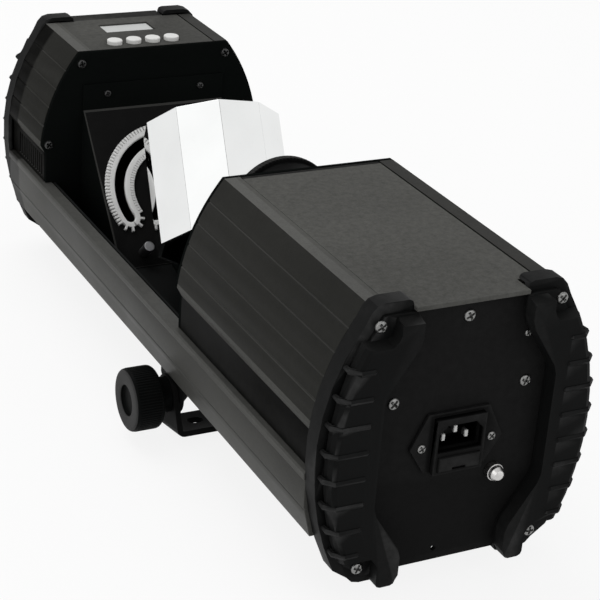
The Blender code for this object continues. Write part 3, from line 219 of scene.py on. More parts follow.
# The stage: floor, world, lamps by name, place in the frame, size and power, and the photo's camera
FLOOR_HALF = 6.0
FLOOR_GAP = 0.001
FLOOR_GLOW = 0.86
WORLD_LIGHT = 0.55
GLOSS_DIM = 0.84
PATCH_WAY = (-0.56, -0.26, 0.79)
PATCH_RIM = 0.70
PATCH_HEART = 0.92
LAMPS = (("key", (-0.3, 0.9, 2.0), 1.6, 16.0), ("fill", (-1.8, -0.8, 0.8), 1.6, 6.0),
         ("front", (0.8, -2.0, 1.0), 1.5, 6.0))
LAMP_AIM = Vector((0.0, 0.05, 0.08))
PHOTO_WIDTH = 600.0
FOCAL_PIXELS = 1785.0245
SENSOR = 36.0
CAMERA_AT = (-0.4624212, -0.6739125, 0.3740121)
CAMERA_AZIMUTH = math.radians(28.43)
CAMERA_ELEVATION = math.radians(25.28)
CAMERA_ROLL = math.radians(-4.49)

BUMPERS = ("near_bumper_left", "near_bumper_right", "far_bumper_left", "far_bumper_right")
FACETS = ["mirror_facet_%02d" % (i + 1) for i in range(10)]
BUTTONS = ["menu_button_%d" % (i + 1) for i in range(4)]
KEPT_SOLIDS = {
    "bay black": ["drum_core", "lens_tube"],
    "tray paint": ["bottom_tray"],
    "bright steel": ["pattern_wheel"],
    "dull steel": ["swing_motor", "spin_motor", "wheel_motor"],
    "cast fins": ["lamp_module"],
    "board lacquer": ["control_board"],
    "case plastic": ["power_supply"],
}

# Shader groups and finishes, filled as they are made
GROUPS = {}
FINISH = {}


def length(name, description, default):
    """A length in metres that the scene keeps as a property."""
    return FloatProperty(name=name, description=description, default=default, unit="LENGTH")


def shade(name, description, default):
    """A colour that the scene keeps as a property."""
    return FloatVectorProperty(name=name, description=description, default=default, subtype="COLOR")


class SpotSizes(bpy.types.PropertyGroup):
    """Sizes of the dressed pieces"""
    edge: length("Panel edge", "Rounding of sheet edges", 0.0004)
    mould_edge: length("Moulding edge", "Rounding of moulded edges", 0.0006)
    screw_r: length("Screw head", "Radius of a large screw head", 0.0034)
    screw_tall: length("Screw height", "Height of a large screw head", 0.0015)
    tooth_pitch: length("Tooth pitch", "Pitch of the slot edging's teeth", 0.00215)
    ring_ribs: IntProperty(name="Ring ribs", description="Ribs round the focus ring", default=90, min=12)
    knob_ribs: IntProperty(name="Knob ribs", description="Fine ribs round a knob", default=72, min=12)


class SpotColours(bpy.types.PropertyGroup):
    """Colours of the main finishes"""
    moulding: shade("Moulding", "End bumpers", (0.0060, 0.0062, 0.0062))
    panel: shade("Panels", "Painted side panels", (0.0205, 0.0205, 0.0187))
    # Painted highlights along the pressed lines, where their lower faces catch the light
    panel_line_highlight: shade("Panel lines", "Painted highlights along the lines pressed into the panels", (0.046, 0.046, 0.043))
    # Painted sheen where light falls on the flange's fold
    flange: shade("Panel flange", "Panel flange beside the cover", (0.095, 0.095, 0.090))
    # Painted highlight on the ledge and its rolled edge
    ledge: shade("Panel ledge", "Ledge above the rails", (0.062, 0.062, 0.058))
    # Painted shade in the recess above the rails
    recess: shade("Panel recess", "Shaded recess above the rails", (0.0014, 0.0014, 0.0013))
    cover: shade("Covers", "Grained top covers", (0.0760, 0.0760, 0.0710))
    rail: shade("Rails", "Side rails", (0.0560, 0.0560, 0.0525))
    plate: shade("End plates", "End plates and yoke", (0.0066, 0.0066, 0.0066))
    edging: shade("Edging", "Slot edging", (0.78, 0.78, 0.77))
    steel: shade("Screws", "Bright screws", (0.24, 0.24, 0.235))


# Node helpers: each places one shader node in a tree and returns its output


def feed(tree, source, socket):
    """Joins an output to an input, or sets the input where the source is a plain value."""
    if isinstance(source, bpy.types.NodeSocket):
        tree.links.new(source, socket)
    else:
        socket.default_value = source


def own(tree, output="Object"):
    """A piece's own coordinates, or its own normal."""
    return tree.nodes.new("ShaderNodeTexCoord").outputs[output]


def one_axis(tree, vector, axis):
    """One coordinate of a vector."""
    split = tree.nodes.new("ShaderNodeSeparateXYZ")
    feed(tree, vector, split.inputs[0])
    return split.outputs[axis]


def calc(tree, operation, a, b):
    """A sum, product or other working of two values."""
    node = tree.nodes.new("ShaderNodeMath")
    node.operation = operation
    feed(tree, a, node.inputs[0])
    feed(tree, b, node.inputs[1])
    return node.outputs[0]


def span(tree, value, low, high, to_low=0.0, to_high=1.0, smooth=False):
    """A value's range from low to high, carried to another range and held at its ends."""
    node = tree.nodes.new("ShaderNodeMapRange")
    node.interpolation_type = "SMOOTHSTEP" if smooth else "LINEAR"
    ends = (("Value", value), ("From Min", low), ("From Max", high), ("To Min", to_low), ("To Max", to_high))
    for label, source in ends:
        feed(tree, source, node.inputs[label])
    return node.outputs["Result"]


def around(tree, value, middle, reach):
    """Noise spread about a middle value, by reach to either side."""
    return span(tree, value, NOISE_LOW, NOISE_HIGH, middle - reach, middle + reach)


def noise(tree, scale, detail=2.0, roughness=0.5, vector=None):
    """Noise over a piece's own coordinates, or over the vector given."""
    node = tree.nodes.new("ShaderNodeTexNoise")
    feed(tree, own(tree) if vector is None else vector, node.inputs["Vector"])
    for label, source in (("Scale", scale), ("Detail", detail), ("Roughness", roughness)):
        feed(tree, source, node.inputs[label])
    return node.outputs["Fac"]


def scaled(tree, color, factor):
    """A colour times a number."""
    node = tree.nodes.new("ShaderNodeVectorMath")
    node.operation = "SCALE"
    feed(tree, color, node.inputs[0])
    feed(tree, factor, node.inputs["Scale"])
    return node.outputs["Vector"]


def mixed(tree, factor, a, b, kind="FLOAT"):
    """Two values or colours mixed by a factor."""
    node = tree.nodes.new("ShaderNodeMix")
    node.data_type = kind
    for label, source in (("Factor", factor), ("A", a), ("B", b)):
        feed(tree, source, node.inputs[label])
    return node.outputs["Result"]


def mixed_shaders(tree, factor, first, second):
    """Two shaders mixed by a factor."""
    node = tree.nodes.new("ShaderNodeMixShader")
    for socket, source in zip(node.inputs, (factor, first, second)):
        feed(tree, source, socket)
    return node.outputs["Shader"]


def either_ray(tree, first, second):
    """1 for a ray of either of two kinds."""
    path = tree.nodes.new("ShaderNodeLightPath")
    return calc(tree, "MAXIMUM", path.outputs[first], path.outputs[second])


def bumped(tree, shader, height, depth):
    """Gives a shader relief from a height, depth metres tall."""
    bump = tree.nodes.new("ShaderNodeBump")
    bump.inputs["Strength"].default_value = 1.0
    bump.inputs["Distance"].default_value = depth
    feed(tree, height, bump.inputs["Height"])
    feed(tree, bump.outputs["Normal"], shader.inputs["Normal"])


# Shader groups used by several finishes


def new_group(name, inputs, outputs):
    """An empty shader node group: numbers with their defaults go in, and numbers come out."""
    tree = bpy.data.node_groups.new(name, "ShaderNodeTree")
    for label, value in inputs.items():
        socket = tree.interface.new_socket(label, in_out="INPUT", socket_type="NodeSocketFloat")
        socket.default_value = value
    for label in outputs:
        tree.interface.new_socket(label, in_out="OUTPUT", socket_type="NodeSocketFloat")
    return tree, tree.nodes.new("NodeGroupInput").outputs, tree.nodes.new("NodeGroupOutput").inputs


def grain_group():
    """Fine paint or mould grain: two sizes of noise mixed, and a broad slow drift of tone."""
    numbers = {"Scale": 900.0, "Coarse": 0.3, "Drift": 12.0}
    tree, given, out = new_group("Surface grain", numbers, ("Height", "Tone"))
    fine = noise(tree, given["Scale"], detail=3.0, roughness=0.6)
    coarse = noise(tree, calc(tree, "MULTIPLY", given["Scale"], COARSE_SCALE))
    feed(tree, mixed(tree, given["Coarse"], fine, coarse), out["Height"])
    feed(tree, noise(tree, given["Drift"]), out["Tone"])
    return tree


def dust_group():
    """A thin veil of dust: how far the surface looks up, times broken noise."""
    tree, given, out = new_group("Dust veil", {"Amount": 0.2, "Scale": 60.0}, ("Mask",))
    up = span(tree, one_axis(tree, own(tree, "Normal"), "Z"), -0.1, 1.0)
    patches = span(tree, noise(tree, given["Scale"], detail=6.0, roughness=0.7), 0.42, 0.72)
    feed(tree, calc(tree, "MULTIPLY", calc(tree, "MULTIPLY", up, patches), given["Amount"]), out["Mask"])
    return tree


def wear_group():
    """Rubbed edges with painted highlights on them: sharp outer corners, found from the mesh's own
    pointiness, broken up by noise.
    """
    tree, given, out = new_group("Rubbed edges and highlights", {"Amount": 0.5, "Low": 0.52, "High": 0.60}, ("Mask",))
    pointed = tree.nodes.new("ShaderNodeNewGeometry").outputs["Pointiness"]
    corner = span(tree, pointed, given["Low"], given["High"])
    broken = calc(tree, "MULTIPLY", corner, noise(tree, 220.0, detail=5.0))
    feed(tree, calc(tree, "MULTIPLY", broken, given["Amount"]), out["Mask"])
    return tree


def placed_group(tree, key, **values):
    """A shared group placed in a material with its own values."""
    node = tree.nodes.new("ShaderNodeGroup")
    node.node_tree = GROUPS[key]
    for label, value in values.items():
        node.inputs[label].default_value = value
    return node.outputs


# Finishes


def new_finish(name):
    """An empty material kept under its name, as its node tree and its shader."""
    mat = bpy.data.materials.new(name)
    mat.use_nodes = True
    FINISH[name] = mat
    return mat.node_tree, mat.node_tree.nodes["Principled BSDF"]


def band_ramp(tree, axis, bands):
    """A colour that changes in steps along one axis: each band holds its start and its colour."""
    places = [at + HOUSING_ZERO["XYZ".index(axis)] for at, _ in bands]
    low, high = places[0] - 0.001, places[-1] + 0.001
    ramp = tree.nodes.new("ShaderNodeValToRGB")
    ramp.color_ramp.interpolation = "CONSTANT"
    stops = ramp.color_ramp.elements
    while len(stops) < len(bands):
        stops.new(1.0)
    for stop, at in zip(stops, places):
        stop.position = (at - low) / (high - low)
    for stop, (_, color) in zip(stops, bands):
        stop.color = (*color, 1.0)
    feed(tree, span(tree, one_axis(tree, own(tree), axis), low, high), ramp.inputs["Fac"])
    return ramp.outputs["Color"]


def end_shade(tree, tone, start):
    """Darkens a tone over a few millimetres towards the far bumpers as painted shade, where the
    bumpers shade the panels and rails.
    """
    start += HOUSING_ZERO.y
    fade = span(tree, one_axis(tree, own(tree), "Y"), start, start + SHADE_RUN, 1.0, SHADE_LEFT, smooth=True)
    return calc(tree, "MULTIPLY", tone, fade)


def painted(name, color, rough=0.50, grain=1200.0, depth=0.00004, coarse=0.3, dust=0.01, wear=0.10,
            worn_and_lit=None, specular=0.02, drift=0.12, speckle=0.0, axis="Z", bands=None, shade_from=None):
    """A paint or moulding: grain as relief and flecks, a slow drift of tone, dust on upward faces and
    rubbed edges that also carry painted highlights. Bands change its colour along an axis, mostly as
    painted light and shade, and shade_from is where painted shade darkens it towards the far end."""
    tree, shader = new_finish(name)
    shader.inputs["Specular IOR Level"].default_value = specular
    surface = placed_group(tree, "grain", Scale=grain, Coarse=coarse)
    veil = placed_group(tree, "dust", Amount=dust)
    # The edge mask paints highlights on sharp edges as well as their wear
    edge_wear_and_sheen = placed_group(tree, "wear", Amount=wear)
    slow = around(tree, surface["Tone"], 1.0, drift)
    flecks = around(tree, surface["Height"], 1.0, speckle)
    tone = calc(tree, "MULTIPLY", slow, flecks)
    if shade_from is not None:
        tone = end_shade(tree, tone, shade_from)
    base = scaled(tree, band_ramp(tree, axis, bands) if bands else color, tone)
    dusty = mixed(tree, veil["Mask"], base, DUST, "RGBA")
    worn_and_lit = worn_and_lit or tuple(min(1.0, c * 5.0 + 0.03) for c in color)
    feed(tree, mixed(tree, edge_wear_and_sheen["Mask"], dusty, (*worn_and_lit, 1.0), "RGBA"), shader.inputs["Base Color"])
    feed(tree, around(tree, surface["Tone"], rough, PAINT_SPREAD), shader.inputs["Roughness"])
    bumped(tree, shader, surface["Height"], depth)


def metal(name, color, rough, scratches=(400.0, 400.0, 400.0)):
    """Bare metal with fine scratches: stretched noise as relief and as a change of tone and roughness."""
    tree, shader = new_finish(name)
    shader.inputs["Metallic"].default_value = 1.0
    stretch = tree.nodes.new("ShaderNodeMapping")
    stretch.inputs["Scale"].default_value = scratches
    feed(tree, own(tree), stretch.inputs["Vector"])
    marks = noise(tree, 1.0, detail=5.0, vector=stretch.outputs["Vector"])
    tone = span(tree, marks, NOISE_LOW, NOISE_HIGH, 0.82, 1.1)
    feed(tree, scaled(tree, color, tone), shader.inputs["Base Color"])
    feed(tree, around(tree, marks, rough, METAL_SPREAD), shader.inputs["Roughness"])
    bumped(tree, shader, marks, SCRATCH_DEPTH)


def mirror_finish():
    """Silvered glass: a clean mirror with a few faint smudges."""
    tree, shader = new_finish("mirror strip")
    shader.inputs["Metallic"].default_value = 1.0
    smudge = noise(tree, 35.0, detail=5.0)
    tone = span(tree, smudge, 0.3, 0.8, 1.0, 0.95)
    feed(tree, scaled(tree, (0.975, 0.985, 0.98), tone), shader.inputs["Base Color"])
    feed(tree, span(tree, smudge, 0.5, 0.8, 0.02, 0.10), shader.inputs["Roughness"])


def glass_finish():
    """Polished lens glass with a breath of haze."""
    tree, shader = new_finish("lens glass")
    shader.inputs["Base Color"].default_value = (0.92, 0.95, 0.97, 1.0)
    shader.inputs["Transmission Weight"].default_value = 1.0
    shader.inputs["IOR"].default_value = 1.5
    feed(tree, span(tree, noise(tree, 50.0), 0.0, 1.0, 0.01, 0.06), shader.inputs["Roughness"])


def panel_finishes(tint):
    """Paint of the side panels: from below painted shade in the recess with the vents, a painted
    highlight on the ledge, and painted highlights along the pressed lines above it. The flange beside the
    cover catches light on its fold as a painted sheen, and the right one lies in painted shade. The vented
    panels darken in painted shade towards the far bumpers."""
    panel, line_highlight, recess = tuple(tint.panel), tuple(tint.panel_line_highlight), tuple(tint.recess)
    # Painted highlight on the ledge up to its rolled edge, and painted highlights on the lower half of each
    # pressed line
    upper = [(LEDGE_LOW_Z, tuple(tint.ledge)), (LEDGE_TOP_Z + LEDGE_ROLL, panel)]
    for z in reversed(GROOVES):
        upper += [(z - GROOVE_BELOW, line_highlight), (z + GROOVE_ABOVE, panel)]
    # Painted shade in the recess, a little lighter on the backs of the vents
    vents = [(LOWEST, recess), (VENT_LOW_Z, VENT_BACK_SHADE), (VENT_TOP_Z, recess)]
    # Painted sheen on the flange's fold, less on its inner side, and painted shade on the right flange
    flange = [(LOWEST, tuple(tint.flange)), (FLANGE_FOLD_X, FLANGE_INNER_SHEEN), (0.0, FLANGE_RIGHT_SHADE)]
    fine = {"grain": 1300.0, "depth": 0.00003}
    painted("panel paint", panel, rough=0.46, speckle=0.15, bands=[(LOWEST, recess)] + upper, **fine)
    # The vented panels darken in painted shade towards the far bumpers
    painted("vented panel paint", panel, rough=0.46, specular=0.005, speckle=0.15, bands=vents + upper,
            shade_from=VENT_SHADE_Y, **fine)
    painted("tray paint", panel, **fine)
    painted("flange painted sheen", panel, grain=1100.0, depth=0.00003, dust=0.02, speckle=0.15, axis="X",
            bands=flange)


def sheet_finishes(tint):
    """Paint of the covers, whose far lips lie in painted shade, and of the rails, the plates and the open
    bay, where the sloping face is lit in painted light and its folded edges carry a painted highlight.
    """
    cover = tuple(tint.cover)
    dim = tuple(COVER_DIM * c for c in cover)
    # Painted shade on the far lips of both covers
    lips = [(FIRST_Y, cover), (LAMP_LIP_Y, COVER_LIP_SHADE), (BAY_Y, dim), (CONTROL_LIP_Y, COVER_LIP_SHADE)]
    painted("grained cover", cover, rough=0.62, grain=900.0, depth=0.00018, coarse=0.5, dust=0.03,
            speckle=0.25, axis="Y", bands=lips)
    # The rails darken in painted shade towards the far bumpers
    painted("rail paint", tuple(tint.rail), rough=0.42, grain=1400.0, depth=0.00003, wear=0.20,
            specular=0.04, speckle=0.12, shade_from=RAIL_SHADE_Y)
    painted("plate paint", tuple(tint.plate), rough=0.52, speckle=0.12)
    painted("liner black", (0.0120, 0.0125, 0.0125), rough=0.60, dust=0.0, wear=0.06, specular=0.0)
    painted("bay black", (0.0042, 0.0050, 0.0047), rough=0.60, dust=0.0, wear=0.06, specular=0.0)
    # The sloping face lit in painted light against the bay's black, and a painted highlight along its folds
    painted("slope face painted light", (0.0090, 0.0090, 0.0090), rough=0.55, wear=0.20, specular=0.01)
    painted("fold highlight", (0.040, 0.040, 0.038), rough=0.45, depth=0.00003, dust=0.0, wear=0.0, specular=0.05)


def moulded_finishes(tint):
    """Moulded pieces: bumpers with painted highlights on their edges, the focus ring in painted shade with a
    painted highlight on its front band, the inlet with painted shade on its sides and deep in its well,
    knobs, slot edging, keys, display and inner plastics.
    """
    plate = tuple(tint.plate)
    ring_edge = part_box("focus_ring")[1][1] - HOUSING_ZERO.y - RING_EDGE
    # Painted shade on the inlet's sides and deep in its well
    inlet = [(FIRST_Y, plate), (-0.0052, INLET_SHADE), (-0.0026, plate), (0.0001, INLET_SHADE)]
    # The bumpers' edges carry painted highlights far above their tone, along with some wear
    painted("moulded black", tuple(tint.moulding), grain=1500.0, depth=0.00005, wear=0.60,
            worn_and_lit=(0.07, 0.07, 0.07), specular=0.03)
    # The focus ring in painted shade, with a painted highlight on its front band
    painted("ring moulding", tuple(tint.moulding), grain=700.0, depth=0.00010, dust=0.0, speckle=0.5,
            axis="Y", bands=[(FIRST_Y, RING_SHADE), (ring_edge, RING_FRONT_HIGHLIGHT)])
    painted("inlet moulding", plate, grain=1500.0, depth=0.00003, dust=0.0, wear=0.40, axis="Y", bands=inlet)
    painted("knob black", KNOB_SIDE, rough=0.45, grain=1500.0, dust=0.0, wear=0.35, axis="X",
            bands=[(LOWEST, KNOB_FACE), (KNOB_FACE_X, KNOB_SIDE)])
    painted("pale edging", tuple(tint.edging), rough=0.55, grain=1600.0, dust=0.10, worn_and_lit=(0.7, 0.7, 0.7),
            specular=0.5, drift=0.05)
    painted("white key", (0.76, 0.76, 0.74), rough=0.38, grain=1800.0, depth=0.00001, dust=0.05,
            worn_and_lit=(0.8, 0.8, 0.8), specular=0.5, drift=0.04)
    painted("display pane", (0.54, 0.55, 0.54), rough=0.30, grain=1500.0, depth=0.000002, dust=0.03,
            wear=0.0, specular=0.2, drift=0.05)
    inner = {"grain": 900.0, "depth": 0.00003, "dust": 0.10, "wear": 0.35, "specular": 0.5}
    painted("board lacquer", (0.02, 0.09, 0.04), rough=0.40, **inner)
    painted("case plastic", (0.10, 0.10, 0.10), **inner)


def metal_finishes(tint):
    """Bare and blackened metal, the inlet's pins with their bright tips and painted shade deeper in the
    socket, the mirrors and the lens.
    """
    # The dark screws' rims carry painted highlights, along with some wear
    painted("dark screw", (0.012, 0.012, 0.012), rough=0.25, grain=900.0, depth=0.00001, dust=0.0, wear=0.6,
            worn_and_lit=(0.25, 0.25, 0.25), specular=0.5)
    # The pins' bright tips, then painted shade deeper in the socket
    painted("inlet pin", INLET_SHADE, rough=0.35, grain=1500.0, depth=0.00001, dust=0.0, wear=0.0, specular=0.3,
            axis="Y", bands=[(FIRST_Y, PIN_TIP), (0.0006, PIN_SIDE_SHADE), (0.0030, INLET_SHADE)])
    metal("bright steel", (0.62, 0.61, 0.60), 0.30)
    metal("screw steel", tuple(tint.steel), 0.34)
    metal("dull steel", (0.30, 0.30, 0.31), 0.42)
    metal("cast fins", (0.50, 0.50, 0.51), 0.45, (60.0, 60.0, 900.0))
    mirror_finish()
    glass_finish()


# Mesh helpers


def place(x, y, z):
    """A point of the housing's own measures in the frame."""
    return Vector((x, y, z)) + HOUSING_ZERO


def moved(verts, matrix):
    """Points turned and shifted by a matrix, all at once."""
    m = np.array(matrix)
    return verts @ m[:3, :3].T + m[:3, 3]


def standing(point, normal):
    """The matrix that stands a piece made about Z on a point, along a normal."""
    return Matrix.Translation(point) @ Vector(normal).to_track_quat("Z", "Y").to_matrix().to_4x4()


def smoothstep(low, high, x):
    """0 at low, 1 at high, and three times the square less twice the cube of the way between."""
    t = np.clip((x - low) / (high - low), 0.0, 1.0)
    return t * t * (3.0 - 2.0 * t)


def arc(cx, cz, r, start, stop, steps):
    """Points of an arc: the centre plus the radius times cosine and sine, between two angles in degrees."""
    a = np.radians(np.linspace(start, stop, steps + 1))
    return np.stack([cx + r * np.cos(a), cz + r * np.sin(a)], axis=-1).tolist()


def grid_faces(rows, cols, closed=False):
    """Quads of a grid numbered row by row, closed round each row, and also over the rows when asked."""
    r, c = np.meshgrid(np.arange(rows if closed else rows - 1), np.arange(cols), indexing="ij")
    r1 = (r + 1) % rows
    c1 = (c + 1) % cols
    quads = np.stack([r * cols + c, r * cols + c1, r1 * cols + c1, r1 * cols + c], axis=-1)
    return quads.reshape(-1, 4).tolist()


def tube_faces(rows, cols):
    """Quads round a tube of closed sections, with its two ends filled."""
    last = (rows - 1) * cols
    return grid_faces(rows, cols) + [list(range(cols)), list(range(last, last + cols))[::-1]]


def stacked(parts):
    """Several point and face arrays as one, each part's faces numbered on from the last."""
    starts = np.cumsum([0] + [len(verts) for verts, _ in parts[:-1]]).tolist()
    faces = [[i + start for i in face] for (_, own_faces), start in zip(parts, starts) for face in own_faces]
    return np.concatenate([verts for verts, _ in parts]), faces


def put_mesh(name, verts, faces, finish, sharp=35.0, merge=1e-6):
    """A piece from arrays, at the origin with its place in its mesh: doubled points merged, faces turned
    outwards, and shaded smooth up to the sharp angle in degrees."""
    mesh = bpy.data.meshes.new(name)
    mesh.from_pydata(verts.tolist(), [], faces)
    mesh.validate()
    mesh.materials.append(FINISH[finish])
    bm = bmesh.new()
    bm.from_mesh(mesh)
    bmesh.ops.remove_doubles(bm, verts=bm.verts, dist=merge)
    bmesh.ops.recalc_face_normals(bm, faces=bm.faces)
    bm.to_mesh(mesh)
    bm.free()
    mesh.shade_smooth()
    mesh.set_sharp_from_angle(angle=math.radians(sharp))
    obj = bpy.data.objects.new(name, mesh)
    bpy.context.scene.collection.objects.link(obj)
    return obj


def settle(obj, node):
    """Ties a piece to the body of the CAD node that it stands for, and hides that node."""
    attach(obj, NODES[node]["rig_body"])
    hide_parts(node)
    return obj


def repaint(node, finish):
    """Gives a kept CAD solid its finish."""
    mesh = NODES[node].data
    mesh.materials.clear()
    mesh.materials.append(FINISH[finish])


def mesh_points(obj):
    """A mesh's points as one array."""
    flat = np.empty(len(obj.data.vertices) * 3)
    obj.data.vertices.foreach_get("co", flat)
    return flat.reshape(-1, 3)


def softened(node, finish, width, segments=2, angle=30.0, facing=None, second=None, fold=None):
    """A copy of a CAD solid with its flat faces joined and its edges rounded, which stands for it. Faces
    that look along facing get the second finish, which paints the light that falls on them, and their own
    edges are folded wider in a third one, a painted highlight."""
    mesh = NODES[node].data.copy()
    mesh.materials.clear()
    for key in (finish, second, "fold highlight" if fold else None):
        if key:
            mesh.materials.append(FINISH[key])
    bm = bmesh.new()
    bm.from_mesh(mesh)
    bmesh.ops.remove_doubles(bm, verts=bm.verts, dist=COPY_MERGE)
    bmesh.ops.dissolve_limit(bm, angle_limit=FLAT_ANGLE, verts=bm.verts, edges=bm.edges)
    if facing is not None:
        bm.normal_update()
        for face in bm.faces:
            face.material_index = int(face.normal.dot(Vector(facing)) > FACING_LIMIT)
    if fold:
        edges = [e for e in bm.edges if len(e.link_faces) == 2 and e.calc_face_angle() > math.radians(angle)
                 and len({f.material_index for f in e.link_faces}) == 2]
        bmesh.ops.bevel(bm, geom=edges, offset=fold, segments=2, profile=0.5, affect="EDGES", material=2)
    bm.to_mesh(mesh)
    bm.free()
    obj = bpy.data.objects.new(node + "_soft", mesh)
    bpy.context.scene.collection.objects.link(obj)
    mesh.shade_smooth()
    mesh.set_sharp_from_angle(angle=math.radians(angle))
    bevel = obj.modifiers.new("rounded", "BEVEL")
    bevel.width = width
    bevel.segments = segments
    bevel.limit_method = "ANGLE"
    bevel.angle_limit = math.radians(angle)
    bevel.use_clamp_overlap = True
    bevel.harden_normals = True
    return settle(obj, node)


def closed_seam(obj):
    """Draws a left panel's flange up to the cover, where the photo shows no gap."""
    verts = mesh_points(obj)
    inner = verts[:, 0] > -COVER_HALF - SEAM_REACH
    verts[inner, 0] = -COVER_HALF - SEAM_GAP
    obj.data.vertices.foreach_set("co", verts.ravel())


def widened(obj, centre, axis, extra):
    """Stretches a mirror strip across its width, square to the drum's axis, so that only a hairline parts
    it from the next one: each point moves across by its own distance from the middle, as a share of the
    width."""
    verts = mesh_points(obj)
    middle = verts.mean(axis=0)
    axis = np.asarray(axis, float)
    out = middle - np.asarray(centre, float)
    out = out - axis * out.dot(axis)
    across = np.cross(axis, out / np.linalg.norm(out))
    reach = (verts - middle) @ across
    verts = verts + np.outer(reach * extra / np.ptp(reach), across)
    obj.data.vertices.foreach_set("co", verts.ravel())


# Turned pieces


def turned_grid(profile, steps, ribs=0, rib_depth=0.0, ribbed=None):
    """Surface of revolution about Z: radius and height of the profile, angle round the axis. Where ribbed
    is 1 the radius is less by rib_depth times a clipped cosine of ribs waves to a turn."""
    prof = np.asarray(profile, float)
    a = np.linspace(0.0, 2.0 * np.pi, steps, endpoint=False)
    radius = np.repeat(prof[:, 0][:, None], steps, axis=1)
    if ribs:
        wave = np.clip(0.5 - 0.9 * np.cos(ribs * a), 0.0, 1.0)
        radius = radius - rib_depth * np.asarray(ribbed, float)[:, None] * wave[None, :]
    z = np.repeat(prof[:, 1][:, None], steps, axis=1)
    return np.stack([radius * np.cos(a), radius * np.sin(a), z], axis=-1)


def turned_piece(name, node, profile, steps, matrix, finish, closed=False, **ribs):
    """A turned surface set in place as a piece that stands for a CAD node."""
    grid = turned_grid(profile, steps, **ribs)
    faces = grid_faces(len(profile), steps, closed)
    return settle(put_mesh(name, moved(grid.reshape(-1, 3), matrix), faces, finish), node)


def on_lens_axis(node):
    """The matrix that stands a turned piece on the lens axis, at a node's near face."""
    return standing(place(0.0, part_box(node)[0][1] - HOUSING_ZERO.y, LENS_Z), FARWARD)


def ring_profile(outer, tall):
    """The focus ring's closed profile and its ribbed points: bore and foot, the plain collar, the step out
    to the ribbed band, and the rounded front edge back to the bore."""
    collar = outer - RING_COLLAR
    band = tall - RING_BAND
    profile = [(RING_BORE, RING_SOFT), (RING_BORE + RING_SOFT, 0.0), (collar - RING_SOFT, 0.0)]
    profile += [(collar, RING_SOFT), (collar, band - 0.0014), (collar + 0.0003, band - 0.0008)]
    profile += [(outer - 0.0010, band - 0.0003)]
    plain = len(profile)
    profile += [(outer, band + 0.0006), (outer, tall - 0.0030), (outer - 0.0003, tall - 0.0016)]
    ribbed = [0.0] * plain + [1.0] * (len(profile) - plain)
    profile += arc(outer - 0.0012, tall - 0.0008, 0.0008, 0.0, 90.0, 4)
    profile += [(RING_BORE + 0.0012, tall), (RING_BORE + 0.0004, tall - 0.0004), (RING_BORE, tall - 0.0014)]
    return profile, ribbed + [0.0] * (len(profile) - len(ribbed))


def lens_profile(radius, deep):
    """A lens with a flat back: its front falls with the square of the way out, to about half its depth."""
    out = np.linspace(0.0, 1.0, 14)
    edge = deep * 0.52
    dome = np.stack([radius * out, deep - (deep - edge) * out * out], axis=-1).tolist()
    return dome + [(radius, 0.0003), (radius - 0.0003, 0.0), (0.0, 0.0)]


def key_profile(radius, tall):
    """A menu button: a nearly flat top that falls a little, a rounded rim and a straight side."""
    soft = 0.0009
    rim = tall - 0.00015
    profile = [(0.0, tall), (radius * 0.5, tall - 0.00004), (radius - soft, rim)]
    return profile + arc(radius - soft, rim - soft, soft, 80.0, 0.0, 5) + [(radius, 0.0), (0.0, 0.0)]


def knob_profile(radius, face, strap, tip):
    """A clamping knob along its bolt's axis: a dish in the face, the rounded grip, a boss that ends at the
    yoke's strap, and the bolt to its tip."""
    dish, deep, boss, bolt, grip = 0.0100, 0.0025, 0.0110, 0.0040, 0.0150
    profile = [(0.0, face - deep), (dish - 0.0014, face - deep)]
    profile += arc(dish - 0.0014, face - deep + 0.0008, 0.0008, -90.0, 0.0, 4)
    profile += [(dish - 0.0004, face - 0.0005), (dish, face - 0.0001), (dish + 0.0006, face)]
    profile += [(radius - 0.0034, face)]
    profile += arc(radius - 0.0024, face - 0.0022, 0.0022, 84.0, 8.0, 6)
    profile += [(radius, face - 0.0030), (radius, face - grip + 0.0004)]
    profile += arc(radius - 0.0036, face - grip, 0.0036, -2.0, -80.0, 6)
    profile += [(boss + 0.0006, face - grip - 0.0039), (boss, face - grip - 0.0045), (boss, strap + 0.0003)]
    return profile + [(bolt, strap + 0.0003), (bolt, tip), (0.0, tip)]


# Screws


def screw_head(radius, height, spin):
    """Pan head: the height falls as the square root of 1 less the fifth power of the radius, and a cross is
    sunk in where the distance to either arm's box is negative. A last ring at the foot runs in to the
    middle and closes it."""
    r = radius * np.sqrt(np.linspace(0.0, 1.0, SCREW_RINGS))
    a = np.linspace(0.0, 2.0 * np.pi, SCREW_STEPS, endpoint=False)
    rr, aa = np.meshgrid(r, a, indexing="ij")
    u, v = np.abs(rr * np.cos(aa - spin)), np.abs(rr * np.sin(aa - spin))
    arm, half = CROSS_ARM * radius, CROSS_HALF * radius
    gap = np.minimum(np.maximum(v - half, u - arm), np.maximum(u - half, v - arm))
    z = height * np.sqrt(np.clip(1.0 - (rr / radius) ** 5, 0.0, 1.0))
    z = z - height * smoothstep(CROSS_RIM * radius, CROSS_FLOOR * radius, gap)
    top = np.stack([rr * np.cos(aa), rr * np.sin(aa), z], axis=-1)
    foot = top[-1].copy()
    foot[:, 2] = SCREW_FOOT * height
    middle = foot * np.array([0.0, 0.0, 1.0])
    grid = np.concatenate([top, foot[None], middle[None]])
    return grid.reshape(-1, 3), grid_faces(grid.shape[0], SCREW_STEPS)


def both_sides(*marks):
    """Places across a face, each one on the left and on the right."""
    return [(side * x, z) for x, z in marks for side in (-1.0, 1.0)]


def on_face(face_y, normal, marks):
    """Screw places on a face across the housing: a point and a normal for each mark."""
    return [(place(x, face_y, z), normal) for x, z in marks]


